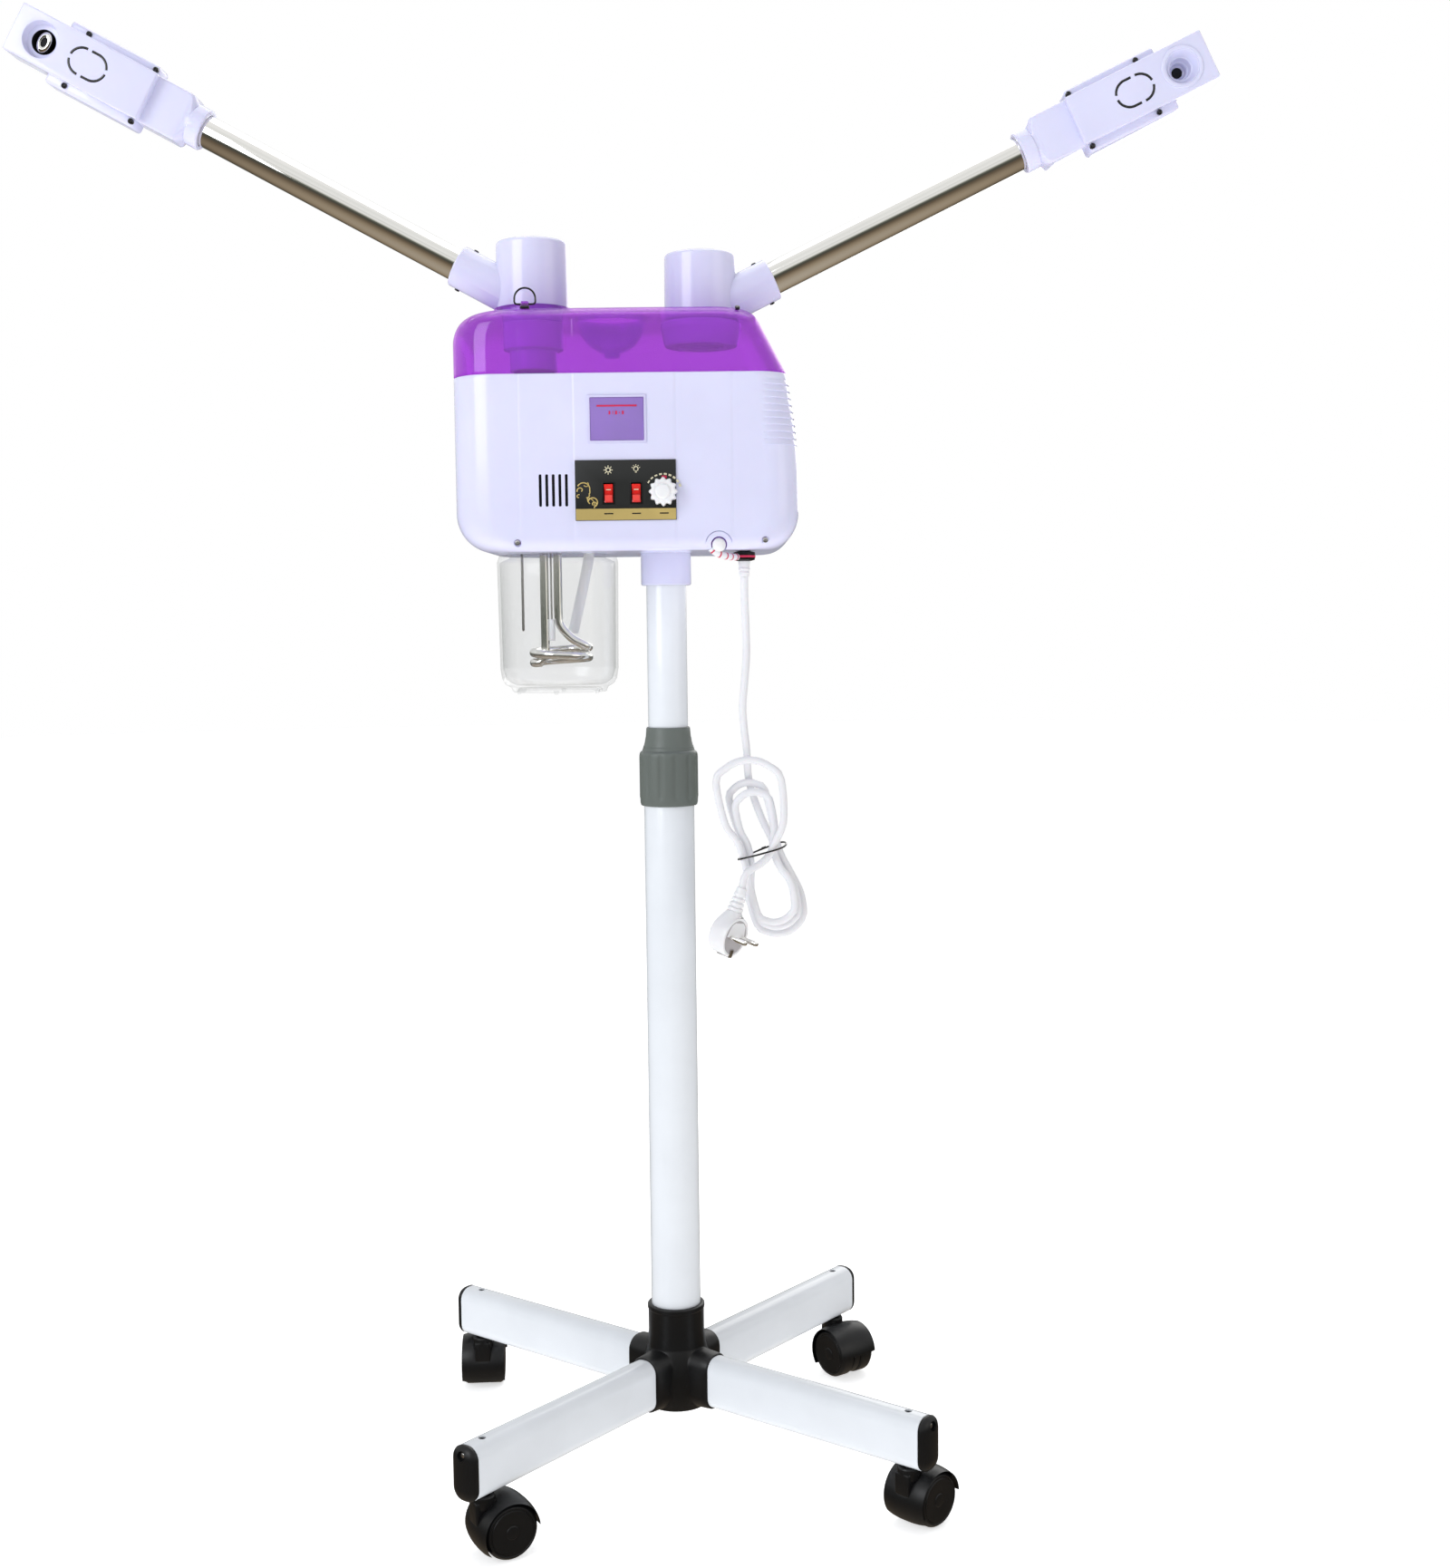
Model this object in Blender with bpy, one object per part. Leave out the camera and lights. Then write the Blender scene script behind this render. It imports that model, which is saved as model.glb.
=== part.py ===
"""Facial steamer on a wheeled stand, with two swinging steam arms over a lidded boiler head.

Metres, +Z up, the controls face -Y. Every dimension is given from the mast's axis and the floor,
but the collar, the sliding tube and all they carry are then lifted together by MAST_LIFT;
at the end the whole stand is moved so that the middle of its outline stands on the origin.
"""
import math

import bmesh
import bpy
from mathutils import Matrix, Vector

GAP = 0.0003

# Base: hub, four legs at right angles, casters
LEG_FRONT_RIGHT_DEG = -37.9
LEG_WIDTH = 0.028
LEG_HEIGHT = 0.050
LEG_CORNER = 0.012
LEG_BOTTOM = 0.058
LEG_WALL = 0.0015
LEG_START = 0.047
LEG_END = 0.2875
LEG_CAP_THICK = 0.009
HUB_RADIUS = 0.027
HUB_BOTTOM = 0.050
HUB_TOP = 0.152
CASTER_REACH = 0.2695
WHEEL_RADIUS = 0.025
WHEEL_INNER = 0.0046
WHEEL_OUTER = 0.0215
WHEEL_TRAIL = 0.018
AXLE_RADIUS = 0.003
STEM_RADIUS = 0.0055
STEM_TOP = 0.090
HOOD_INNER = 0.0263
HOOD_OUTER = 0.0287
CASTER_HEADINGS_DEG = {"front_left": 31.0, "front_right": 45.0, "rear_right": -54.0, "rear_left": 93.0}

# Mast: outer tube, clamp, sliding inner tube
LOWER_TUBE_RADIUS = 0.024
LOWER_TUBE_BOTTOM = 0.072
LOWER_TUBE_TOP = 0.650
UPPER_TUBE_RADIUS = 0.019
UPPER_TUBE_BOTTOM = 0.330
UPPER_TUBE_TOP = 0.899
TUBE_WALL = 0.0015
MAST_LIFT = 0.030
COLLAR_BOTTOM = 0.613
COLLAR_GRIP_TOP = 0.664
COLLAR_TOP = 0.688
COLLAR_RADIUS = 0.028
COLLAR_FLUTES = 12
SOCKET_RADIUS = 0.0238
SOCKET_BOTTOM = 0.823
SOCKET_TOP = 0.905

# Boiler head: casing, lid and the parts they hold
BODY_LEFT = -0.191
BODY_BOTTOM = 0.853
BODY_SEAM = 1.012
BODY_TOP = 1.072
BODY_HALF_DEPTH = 0.095
BODY_WALL = 0.0026
BODY_RIGHT_PROFILE = ((0.853, 0.125), (0.925, 0.1245), (0.965, 0.1215), (1.012, 0.1145), (1.072, 0.083))
BOTTOM_ROUND = 0.036
TOP_ROUND = 0.030
EDGE_ROUND = 0.012
CORNER_LEFT = 0.042
CORNER_RIGHT = 0.030
JAR_X = -0.103
JAR_RADIUS = 0.0575
JAR_BOTTOM = 0.723
JAR_NECK_RADIUS = 0.0478
JAR_NECK_TOP = 0.8715
COIL_CENTRE = (-0.0996, -0.018)
COIL_RADIUS = 0.026
COIL_WIRE = 0.004
COIL_TOP = 0.7655
COIL_PITCH = 0.0095
RISER_LEFT = -0.0144
RISER_RIGHT = -0.0016
RISER_Y = -0.006
PROBE = (-0.1345, -0.024)
HOSE = (-0.0726, 0.012)
HOSE_RADIUS = 0.005
BOILER_TOP = 0.8800
BOILER_RADIUS = 0.0515
STEAM_PIPE_TOP = 1.020
BOWL_X = -0.048
BOWL_RADIUS = 0.032
PANEL_X = (-0.078, 0.013)
PANEL_Z = (0.880, 0.934)
ROCKER_XS = {"rocker_left": -0.048, "rocker_right": -0.023}
ROCKER_Z = 0.9045
ROCKER_HALF = (0.0043, 0.0082)
ROCKER_TILT_DEG = 7.0
KNOB_X = 0.0015
KNOB_Z = 0.905
KNOB_RADIUS = 0.012
KNOB_LOBES = 12
WINDOW_X = (-0.065, -0.014)
WINDOW_Z = (0.950, 0.991)
VENT_COUNT = 5
VENT_X = -0.1095
VENT_PITCH = 0.0059
VENT_Z = (0.893, 0.922)
DRAIN_X = 0.051
DRAIN_Z = 0.8575
DRAIN_RADIUS = 0.0062
GLAND = Vector((0.074, -0.055, 0.829))
NECK_RING_RADIUS = 0.0367
NECK_RING_TOP = 1.083
RING_LUG_Y = -0.076
RING_LUG_RISE = 0.0038

# Arms: column, elbow sleeve, chrome tube and nozzle head, along the arm's own line
COLUMN_RADIUS = 0.034
SLEEVE_RADIUS = 0.0195
ARM_TUBE_RADIUS = 0.015
SLEEVE_START = 0.0315
TUBE_START = 0.0505
HEAD_LENGTH = 0.190
HEAD_COLLAR = 0.013
HEAD_NECK_END = 0.057
HEAD_NECK_HALF_DEPTH = 0.018
TUBE_IN_HEAD = 0.022
STEAM_WAY = 0.008
HEAD_HALF_HEIGHT = 0.0232
PLATE_FRONT = 0.028
PLATE_BACK = 0.0165
CASE_END = 0.148
CASE_HALF_HEIGHT = 0.031
CASE_BACK = 0.014
TIP_BACK = 0.012
NOZZLE_X = 0.1615
ARMS = {
    "left": {"x": -0.122, "side": -1, "pitch": 28.5, "line_z": 1.0862, "base": 1.0833, "top": 1.146,
             "spigot": 0.0284, "flange": None, "spigot_bottom": 1.025, "sleeve_end": 0.080, "head": 0.344},
    "right": {"x": 0.036, "side": 1, "pitch": 25.8, "line_z": 1.0759, "base": 1.0723, "top": 1.133,
              "spigot": 0.0284, "flange": 0.038, "spigot_bottom": 1.046, "sleeve_end": 0.0755, "head": 0.3335},
}

# Mains cord: hangs from the gland to a tied hank, with the plug on its end
CORD_RADIUS = 0.0035
CORD_ROUTE = (
    (0.0740, -0.0550, 0.8287), (0.0741, -0.0550, 0.8100), (0.0748, -0.0552, 0.7850),
    (0.0752, -0.0554, 0.7600), (0.0735, -0.0555, 0.7350), (0.0712, -0.0555, 0.7100),
    (0.0722, -0.0552, 0.6900), (0.0745, -0.0550, 0.6685),
)
HANK_TOP = (0.0815, 0.628)
HANK_LOW = (0.1025, 0.531)
HANK_RADIUS = 0.0372
HANK_Y = (-0.069, -0.041)
PLUG_TAIL = Vector((0.0685, -0.0785, 0.5420))
PLUG_LEAN_DEG = 18.0
PLUG_TURN_DEG = -35.0

CORD_NODES = ("cord_gland", "cord_lead", "cord_hank", "plug")


# ---------------------------------------------------------------- shapes

def mesh_from_bmesh(bm, smooth=True):
    """Close a bmesh into a mesh with its faces pointing out."""
    bmesh.ops.recalc_face_normals(bm, faces=bm.faces)
    mesh = bpy.data.meshes.new("shape")
    bm.to_mesh(mesh)
    bm.free()
    if smooth:
        mesh.shade_smooth()
        mesh.set_sharp_from_angle(angle=math.radians(35))
    return mesh


def turned(profile, segments=32, axis="Z"):
    """Turn a closed (radius, height) outline about the axis; points of radius 0 lie on it."""
    bm = bmesh.new()
    rings = []
    for radius, height in profile:
        if radius == 0:
            rings.append([bm.verts.new((0, 0, height))])
            continue
        angles = (math.tau * k / segments for k in range(segments))
        rings.append([bm.verts.new((radius * math.cos(a), radius * math.sin(a), height)) for a in angles])
    count = len(rings)
    for k in range(count):
        low, high = rings[k], rings[(k + 1) % count]
        if len(low) == 1 and len(high) == 1:
            continue
        for j in range(segments):
            n = (j + 1) % segments
            corners = [low[j % len(low)], low[n % len(low)], high[n % len(high)], high[j % len(high)]]
            bm.faces.new(list(dict.fromkeys(corners)))
    if axis == "Y":
        bmesh.ops.rotate(bm, verts=bm.verts, matrix=Matrix.Rotation(math.radians(90), 3, "X"))
    if axis == "X":
        bmesh.ops.rotate(bm, verts=bm.verts, matrix=Matrix.Rotation(math.radians(90), 3, "Y"))
    return mesh_from_bmesh(bm)


def rod(radius, low, high, segments=24, axis="Z"):
    """A plain round bar between two heights on the axis."""
    return turned([(0, low), (radius, low), (radius, high), (0, high)], segments, axis)


def pipe(outer, inner, low, high, segments=32, axis="Z"):
    """A round tube, open at both ends."""
    return turned([(inner, low), (outer, low), (outer, high), (inner, high)], segments, axis)


def lofted(rings, hollow=False):
    """Skin a list of equal point rings; a hollow loft closes on itself, any other is capped."""
    bm = bmesh.new()
    loops = [[bm.verts.new(p) for p in ring] for ring in rings]
    size = len(loops[0])
    pairs = len(loops) if hollow else len(loops) - 1
    for k in range(pairs):
        low, high = loops[k], loops[(k + 1) % len(loops)]
        for j in range(size):
            n = (j + 1) % size
            bm.faces.new((low[j], low[n], high[n], high[j]))
    if not hollow:
        bm.faces.new(loops[0])
        bm.faces.new(loops[-1])
    return mesh_from_bmesh(bm)


def rounded_rectangle(low, high, corners, steps=5):
    """Outline of a rectangle, counter-clockwise, with a radius for each corner from the low-low one."""
    centres = (
        (low[0] + corners[0], low[1] + corners[0]), (high[0] - corners[1], low[1] + corners[1]),
        (high[0] - corners[2], high[1] - corners[2]), (low[0] + corners[3], high[1] - corners[3]),
    )
    points = []
    for k, (centre, radius) in enumerate(zip(centres, corners)):
        for step in range(steps + 1):
            angle = math.radians(180 + 90 * k + 90 * step / steps)
            points.append((centre[0] + radius * math.cos(angle), centre[1] + radius * math.sin(angle)))
    return points


def extruded(outline, low, high, plane="XY"):
    """Extrude a flat outline between two offsets along the plane's normal."""
    order = {"XY": (0, 1, 2), "XZ": (0, 2, 1), "YZ": (2, 0, 1)}[plane]
    rings = []
    for offset in (low, high):
        flat = [(u, v, offset) for u, v in outline]
        rings.append([tuple(p[i] for i in order) for p in flat])
    return lofted(rings)


def block(low, high, bevel=0.0, steps=2):
    """A box between two corners, with rounded edges if asked."""
    bm = bmesh.new()
    bmesh.ops.create_cube(bm, size=1)
    low, high = Vector(low), Vector(high)
    size = high - low
    bmesh.ops.scale(bm, verts=bm.verts, vec=size)
    bmesh.ops.translate(bm, verts=bm.verts, vec=(low + high) / 2)
    if bevel:
        bmesh.ops.bevel(bm, geom=bm.edges[:], offset=bevel, segments=steps, affect="EDGES", profile=0.5)
    return mesh_from_bmesh(bm)


def moved(mesh, offset=(0, 0, 0), turn=None):
    """A mesh turned and then moved in place."""
    matrix = Matrix.Translation(Vector(offset))
    if turn is not None:
        matrix = matrix @ turn.to_4x4()
    mesh.transform(matrix)
    return mesh


def combined(mesh, add=(), cut=(), solver="EXACT"):
    """Join other solids to a mesh and cut others from it; MANIFOLD is for meshes that EXACT leaves open."""
    scene = bpy.context.scene
    body = bpy.data.objects.new("work_body", mesh)
    scene.collection.objects.link(body)
    helpers = []
    for operation, others in (("UNION", add), ("DIFFERENCE", cut)):
        for other in others:
            helper = bpy.data.objects.new("work_helper", other)
            scene.collection.objects.link(helper)
            helpers.append(helper)
            step = body.modifiers.new("boolean", "BOOLEAN")
            step.operation = operation
            step.solver = solver
            step.object = helper
    bpy.context.view_layer.update()
    view = body.evaluated_get(bpy.context.evaluated_depsgraph_get())
    result = bpy.data.meshes.new_from_object(view)
    for helper in helpers + [body]:
        bpy.data.objects.remove(helper)
    result.shade_smooth()
    result.set_sharp_from_angle(angle=math.radians(35))
    return result


def smooth_route(points, spacing):
    """Points about one spacing apart on a Catmull-Rom curve through the given points."""
    route = [Vector(p) for p in points]
    ends = [route[0] * 2 - route[1]] + route + [route[-1] * 2 - route[-2]]
    result = [route[0]]
    for k in range(1, len(ends) - 2):
        a, b, c, d = ends[k - 1:k + 3]
        steps = max(1, round((c - b).length / spacing))
        for step in range(1, steps + 1):
            t = step / steps
            result.append(0.5 * ((2 * b) + (c - a) * t + (2 * a - 5 * b + 4 * c - d) * t ** 2
                                 + (3 * b - a - 3 * c + d) * t ** 3))
    return result


# ---------------------------------------------------------------- objects

def finish(name, colour, roughness, metallic=0.0, alpha=1.0):
    """A Principled material."""
    material = bpy.data.materials.new(name)
    material.use_nodes = True
    shader = material.node_tree.nodes["Principled BSDF"]
    shader.inputs["Base Color"].default_value = (*colour, 1.0)
    shader.inputs["Roughness"].default_value = roughness
    shader.inputs["Metallic"].default_value = metallic
    shader.inputs["Alpha"].default_value = alpha
    material.diffuse_color = (*colour, alpha)
    return material


def empty(name, parent=None, location=(0, 0, 0), turn=None):
    """A pivot or grouping point."""
    pivot = bpy.data.objects.new(name, None)
    bpy.context.scene.collection.objects.link(pivot)
    pivot.parent = parent
    pivot.location = location
    if turn is not None:
        pivot.rotation_euler = turn.to_euler()
    return pivot


def place(name, mesh, material, parent, location=(0, 0, 0)):
    """Put one sub-part in the scene."""
    mesh.materials.clear()
    mesh.materials.append(material)
    part = bpy.data.objects.new(name, mesh)
    bpy.context.scene.collection.objects.link(part)
    part.parent = parent
    part.location = location
    return part


def place_tube(name, points, radius, material, parent, sides=2, cyclic=False):
    """Put a round bar that follows a list of points in the scene."""
    curve = bpy.data.curves.new(name, "CURVE")
    curve.dimensions = "3D"
    curve.bevel_depth = radius
    curve.bevel_resolution = sides
    curve.use_fill_caps = True
    spline = curve.splines.new("POLY")
    spline.points.add(len(points) - 1)
    for point, place_at in zip(spline.points, points):
        point.co = (*place_at, 1)
    spline.use_cyclic_u = cyclic
    curve.materials.append(material)
    part = bpy.data.objects.new(name, curve)
    bpy.context.scene.collection.objects.link(part)
    part.parent = parent
    return part


def make_finishes():
    """The finishes of the whole machine, by name."""
    lilac = (0.80, 0.80, 0.96)
    return {
        "white_paint": finish("white_paint", (0.90, 0.92, 0.94), 0.25),
        "black_plastic": finish("black_plastic", (0.02, 0.02, 0.022), 0.45),
        "grey_plastic": finish("grey_plastic", (0.17, 0.20, 0.18), 0.5),
        "lilac_plastic": finish("lilac_plastic", lilac, 0.25),
        "purple_clear": finish("purple_clear", (0.42, 0.08, 0.80), 0.1, alpha=0.6),
        "clear_glass": finish("clear_glass", (0.95, 0.96, 0.97), 0.05, alpha=0.25),
        "chrome": finish("chrome", (0.85, 0.85, 0.83), 0.08, metallic=1.0),
        "steel": finish("steel", (0.6, 0.6, 0.6), 0.25, metallic=1.0),
        "panel_black": finish("panel_black", (0.03, 0.03, 0.03), 0.3),
        "switch_red": finish("switch_red", (0.70, 0.02, 0.02), 0.25),
        "white_plastic": finish("white_plastic", (0.88, 0.88, 0.90), 0.35),
        "nylon": finish("nylon", (0.75, 0.74, 0.70), 0.5),
    }


# ---------------------------------------------------------------- base

def leg_section(inset, x):
    """Rounded leg section at a distance x from the mast, drawn in by an inset."""
    half, top = LEG_WIDTH / 2 - inset, LEG_BOTTOM + LEG_HEIGHT - inset
    outline = rounded_rectangle((-half, LEG_BOTTOM + inset), (half, top), [LEG_CORNER - inset] * 4, 2)
    return [(x, y, z) for y, z in outline]


def leg_prism(inset, start, end):
    """Solid bar of the leg's section."""
    return lofted([leg_section(inset, start), leg_section(inset, end)])


def make_hub(finishes, root):
    """Cast hub: mast socket, four stubs in the legs' line, and tenons inside the legs."""
    axis = Matrix.Rotation(math.radians(LEG_FRONT_RIGHT_DEG), 3, "Z")
    cross = axis @ Matrix.Rotation(math.radians(90), 3, "Z")
    inner = LEG_WALL + GAP
    stub = LEG_START - GAP
    tenon = LEG_START + 0.028
    arms = []
    for turn in (axis, cross):
        arms.append(moved(leg_prism(0, -stub, stub), turn=turn))
        arms.append(moved(leg_prism(inner, -tenon, tenon), turn=turn))
    core = turned([
        (0, HUB_BOTTOM), (HUB_RADIUS * 0.72, HUB_BOTTOM), (HUB_RADIUS + 0.003, LEG_BOTTOM + 0.004),
        (HUB_RADIUS, 0.118), (HUB_RADIUS, HUB_TOP - 0.002), (HUB_RADIUS - 0.001, HUB_TOP), (0, HUB_TOP),
    ], 24)
    bore = rod(LOWER_TUBE_RADIUS + GAP, LOWER_TUBE_BOTTOM - GAP, HUB_TOP + 0.01, 24)
    place("base_hub", combined(core, arms, [bore]), finishes["black_plastic"], root)


def make_caster_meshes():
    """Housing, axle and wheel of one caster, about its swivel axis, trailing along +X."""
    hub = Vector((WHEEL_TRAIL, 0, WHEEL_RADIUS))
    start, stop = math.radians(218), math.radians(4)
    outer, inner = [], []
    for k in range(10):
        angle = start + (stop - start) * k / 9
        for ring, radius in ((outer, HOOD_OUTER), (inner, HOOD_INNER)):
            ring.append((hub.x + radius * math.cos(angle), hub.z + radius * math.sin(angle)))
    hood = extruded(outer + inner[::-1], -WHEEL_OUTER - 0.001, WHEEL_OUTER + 0.001, "XZ")
    web = [(hub.x + (HOOD_INNER + 0.001) * math.cos(a), hub.z + (HOOD_INNER + 0.001) * math.sin(a))
           for a in (math.radians(218 - 214 * k / 8) for k in range(9))]
    web += [(hub.x + 0.010, hub.z - 0.012), (hub.x - 0.010, hub.z - 0.014)]
    web = extruded(web, -0.004, 0.004, "XZ")
    neck = block((-0.010, -0.004, 0.030), (0.010, 0.004, 0.053))
    leg_face = LEG_BOTTOM - 2 * GAP
    boss = turned([(0, 0.050), (0.0095, 0.050), (0.0095, leg_face), (STEM_RADIUS, leg_face),
                   (STEM_RADIUS, STEM_TOP - 0.001), (STEM_RADIUS - 0.001, STEM_TOP), (0, STEM_TOP)], 12)
    bore = moved(rod(AXLE_RADIUS + GAP, -0.01, 0.01, 12, "Y"), hub)
    housing = combined(boss, [neck, web, hood], [bore])
    axle = moved(rod(AXLE_RADIUS, -0.0165, 0.0165, 12, "Y"), hub)
    pocket = AXLE_RADIUS + GAP
    wheel = turned([
        (pocket, WHEEL_INNER), (WHEEL_RADIUS - 0.001, WHEEL_INNER), (WHEEL_RADIUS, WHEEL_INNER + 0.001),
        (WHEEL_RADIUS, WHEEL_OUTER - 0.004), (WHEEL_RADIUS - 0.0012, WHEEL_OUTER - 0.0012),
        (WHEEL_RADIUS - 0.004, WHEEL_OUTER), (0, WHEEL_OUTER), (0, 0.0168), (pocket, 0.0168),
    ], 16)
    return housing, axle, wheel


def make_legs(finishes, root):
    """Four legs, each with its end cap and caster."""
    housing, axle, wheel = make_caster_meshes()
    names = ("front_right", "rear_right", "rear_left", "front_left")
    over_caster = (CASTER_REACH, 0, 0)
    stem_hole = moved(rod(STEM_RADIUS + 4 * GAP, LEG_BOTTOM - 0.01, LEG_BOTTOM + 0.01, 12), over_caster)
    screw_top = LEG_BOTTOM + LEG_HEIGHT
    screw_hole = moved(rod(0.003, screw_top - 0.004, screw_top + 0.01, 12), over_caster)
    sections = [leg_section(0, LEG_START), leg_section(0, LEG_END), leg_section(LEG_WALL, LEG_END),
                leg_section(LEG_WALL, LEG_START)]
    leg = combined(lofted(sections, hollow=True), cut=[stem_hole, screw_hole])
    dome = ((0, GAP), (0.0002, LEG_CAP_THICK * 0.4), (0.0022, LEG_CAP_THICK * 0.8), (0.0055, LEG_CAP_THICK))
    plate = lofted([leg_section(inset, LEG_END + past) for inset, past in dome])
    plug = leg_prism(LEG_WALL + GAP, CASTER_REACH - 0.016, LEG_END + 0.002)
    stem_bore = moved(rod(STEM_RADIUS + GAP, LEG_BOTTOM - 0.01, STEM_TOP + GAP, 12), over_caster)
    cap = combined(plate, [plug], [stem_bore])
    for k, corner in enumerate(names):
        angle = math.radians(LEG_FRONT_RIGHT_DEG + 90 * k)
        line = empty("leg_line_" + corner, root, turn=Matrix.Rotation(angle, 3, "Z"))
        place("leg_" + corner, leg, finishes["white_paint"], line)
        place("leg_cap_" + corner, cap, finishes["black_plastic"], line)
        pivot = empty("caster_swivel_" + corner, root,
                      (CASTER_REACH * math.cos(angle), CASTER_REACH * math.sin(angle), 0),
                      Matrix.Rotation(math.radians(CASTER_HEADINGS_DEG[corner]), 3, "Z"))
        place("caster_housing_" + corner, housing, finishes["black_plastic"], pivot)
        place("caster_axle_" + corner, axle, finishes["steel"], pivot)
        for side, turn_deg in (("a", 90), ("b", -90)):
            part = place("caster_wheel_" + corner + "_" + side, wheel, finishes["black_plastic"], pivot,
                         (WHEEL_TRAIL, 0, WHEEL_RADIUS))
            part.rotation_euler = (math.radians(turn_deg), 0, 0)


# ---------------------------------------------------------------- mast

def make_mast(finishes, root, lifted):
    """Outer tube, clamp collar with its bush, and sliding tube."""
    top = LOWER_TUBE_TOP + MAST_LIFT
    lower = pipe(LOWER_TUBE_RADIUS, LOWER_TUBE_RADIUS - TUBE_WALL, LOWER_TUBE_BOTTOM, top, 24)
    place("lower_tube", lower, finishes["white_paint"], root)
    upper = pipe(UPPER_TUBE_RADIUS, UPPER_TUBE_RADIUS - TUBE_WALL, UPPER_TUBE_BOTTOM, UPPER_TUBE_TOP, 24)
    place("upper_tube", upper, finishes["white_paint"], lifted)
    sliding = UPPER_TUBE_RADIUS + GAP
    in_tube = LOWER_TUBE_RADIUS - TUBE_WALL - GAP
    bush_bottom, rim, bush_top = LOWER_TUBE_TOP - 0.070, LOWER_TUBE_TOP + GAP, COLLAR_GRIP_TOP + 0.004
    bush = turned([
        (sliding, bush_bottom), (in_tube, bush_bottom), (in_tube, rim), (LOWER_TUBE_RADIUS - 0.0005, rim),
        (LOWER_TUBE_RADIUS - 0.0015, bush_top), (sliding, bush_top),
    ], 24)
    place("clamp_bush", bush, finishes["nylon"], lifted)
    bore = LOWER_TUBE_RADIUS + GAP
    levels = (
        (bore, COLLAR_BOTTOM, 0), (COLLAR_RADIUS - 0.0025, COLLAR_BOTTOM, 0),
        (COLLAR_RADIUS - 0.0003, COLLAR_BOTTOM + 0.006, 0.0), (COLLAR_RADIUS, COLLAR_BOTTOM + 0.010, 0.0011),
        (COLLAR_RADIUS, COLLAR_GRIP_TOP - 0.004, 0.0011), (COLLAR_RADIUS - 0.0003, COLLAR_GRIP_TOP, 0.0),
        (0.0212, COLLAR_TOP - 0.001, 0), (0.0205, COLLAR_TOP, 0), (sliding + GAP, COLLAR_TOP, 0),
        (sliding + GAP, COLLAR_GRIP_TOP + 0.010, 0), (bore, COLLAR_GRIP_TOP + 0.005, 0),
    )
    rings = []
    for radius, height, flute in levels:
        ring = []
        for k in range(COLLAR_FLUTES * 2):
            angle = math.tau * k / (COLLAR_FLUTES * 2)
            r = radius - flute * (k % 2)
            ring.append((r * math.cos(angle), r * math.sin(angle), height))
        rings.append(ring)
    place("clamp_collar", lofted(rings, hollow=True), finishes["grey_plastic"], lifted)


# ---------------------------------------------------------------- boiler head

def right_edge(z):
    """Distance of the casing's right side from the mast at a height."""
    low = BODY_RIGHT_PROFILE[0]
    for high in BODY_RIGHT_PROFILE[1:]:
        if z <= high[0]:
            share = (z - low[0]) / (high[0] - low[0])
            return low[1] + share * (high[1] - low[1])
        low = high
    return low[1]


def round_over(distance, radius, height):
    """How far a surface draws in, at a distance from its end, under an elliptical edge."""
    if distance >= height:
        return 0.0
    share = 1 - max(distance, 0) / height
    return radius * (1 - math.sqrt(1 - share * share))


def body_section(z, inset=0.0):
    """Outline of the boiler head at a height, drawn in by a wall's thickness."""
    up = z - BODY_BOTTOM - inset
    down = BODY_TOP - inset - z
    side_low = round_over(up, BOTTOM_ROUND - inset, BOTTOM_ROUND - inset)
    left = BODY_LEFT + inset + side_low + round_over(down, TOP_ROUND - inset, TOP_ROUND - inset)
    right = right_edge(z) - inset - side_low * 0.85 - round_over(down, EDGE_ROUND - inset, EDGE_ROUND - inset)
    face = round_over(up, EDGE_ROUND - inset, EDGE_ROUND - inset)
    face += round_over(down, EDGE_ROUND - inset, EDGE_ROUND - inset)
    depth = BODY_HALF_DEPTH - inset - face
    corners = (CORNER_LEFT - inset, CORNER_RIGHT - inset, CORNER_RIGHT - inset, CORNER_LEFT - inset)
    return [(x, y, z) for x, y in rounded_rectangle((left, -depth), (right, depth), corners, 4)]


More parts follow.
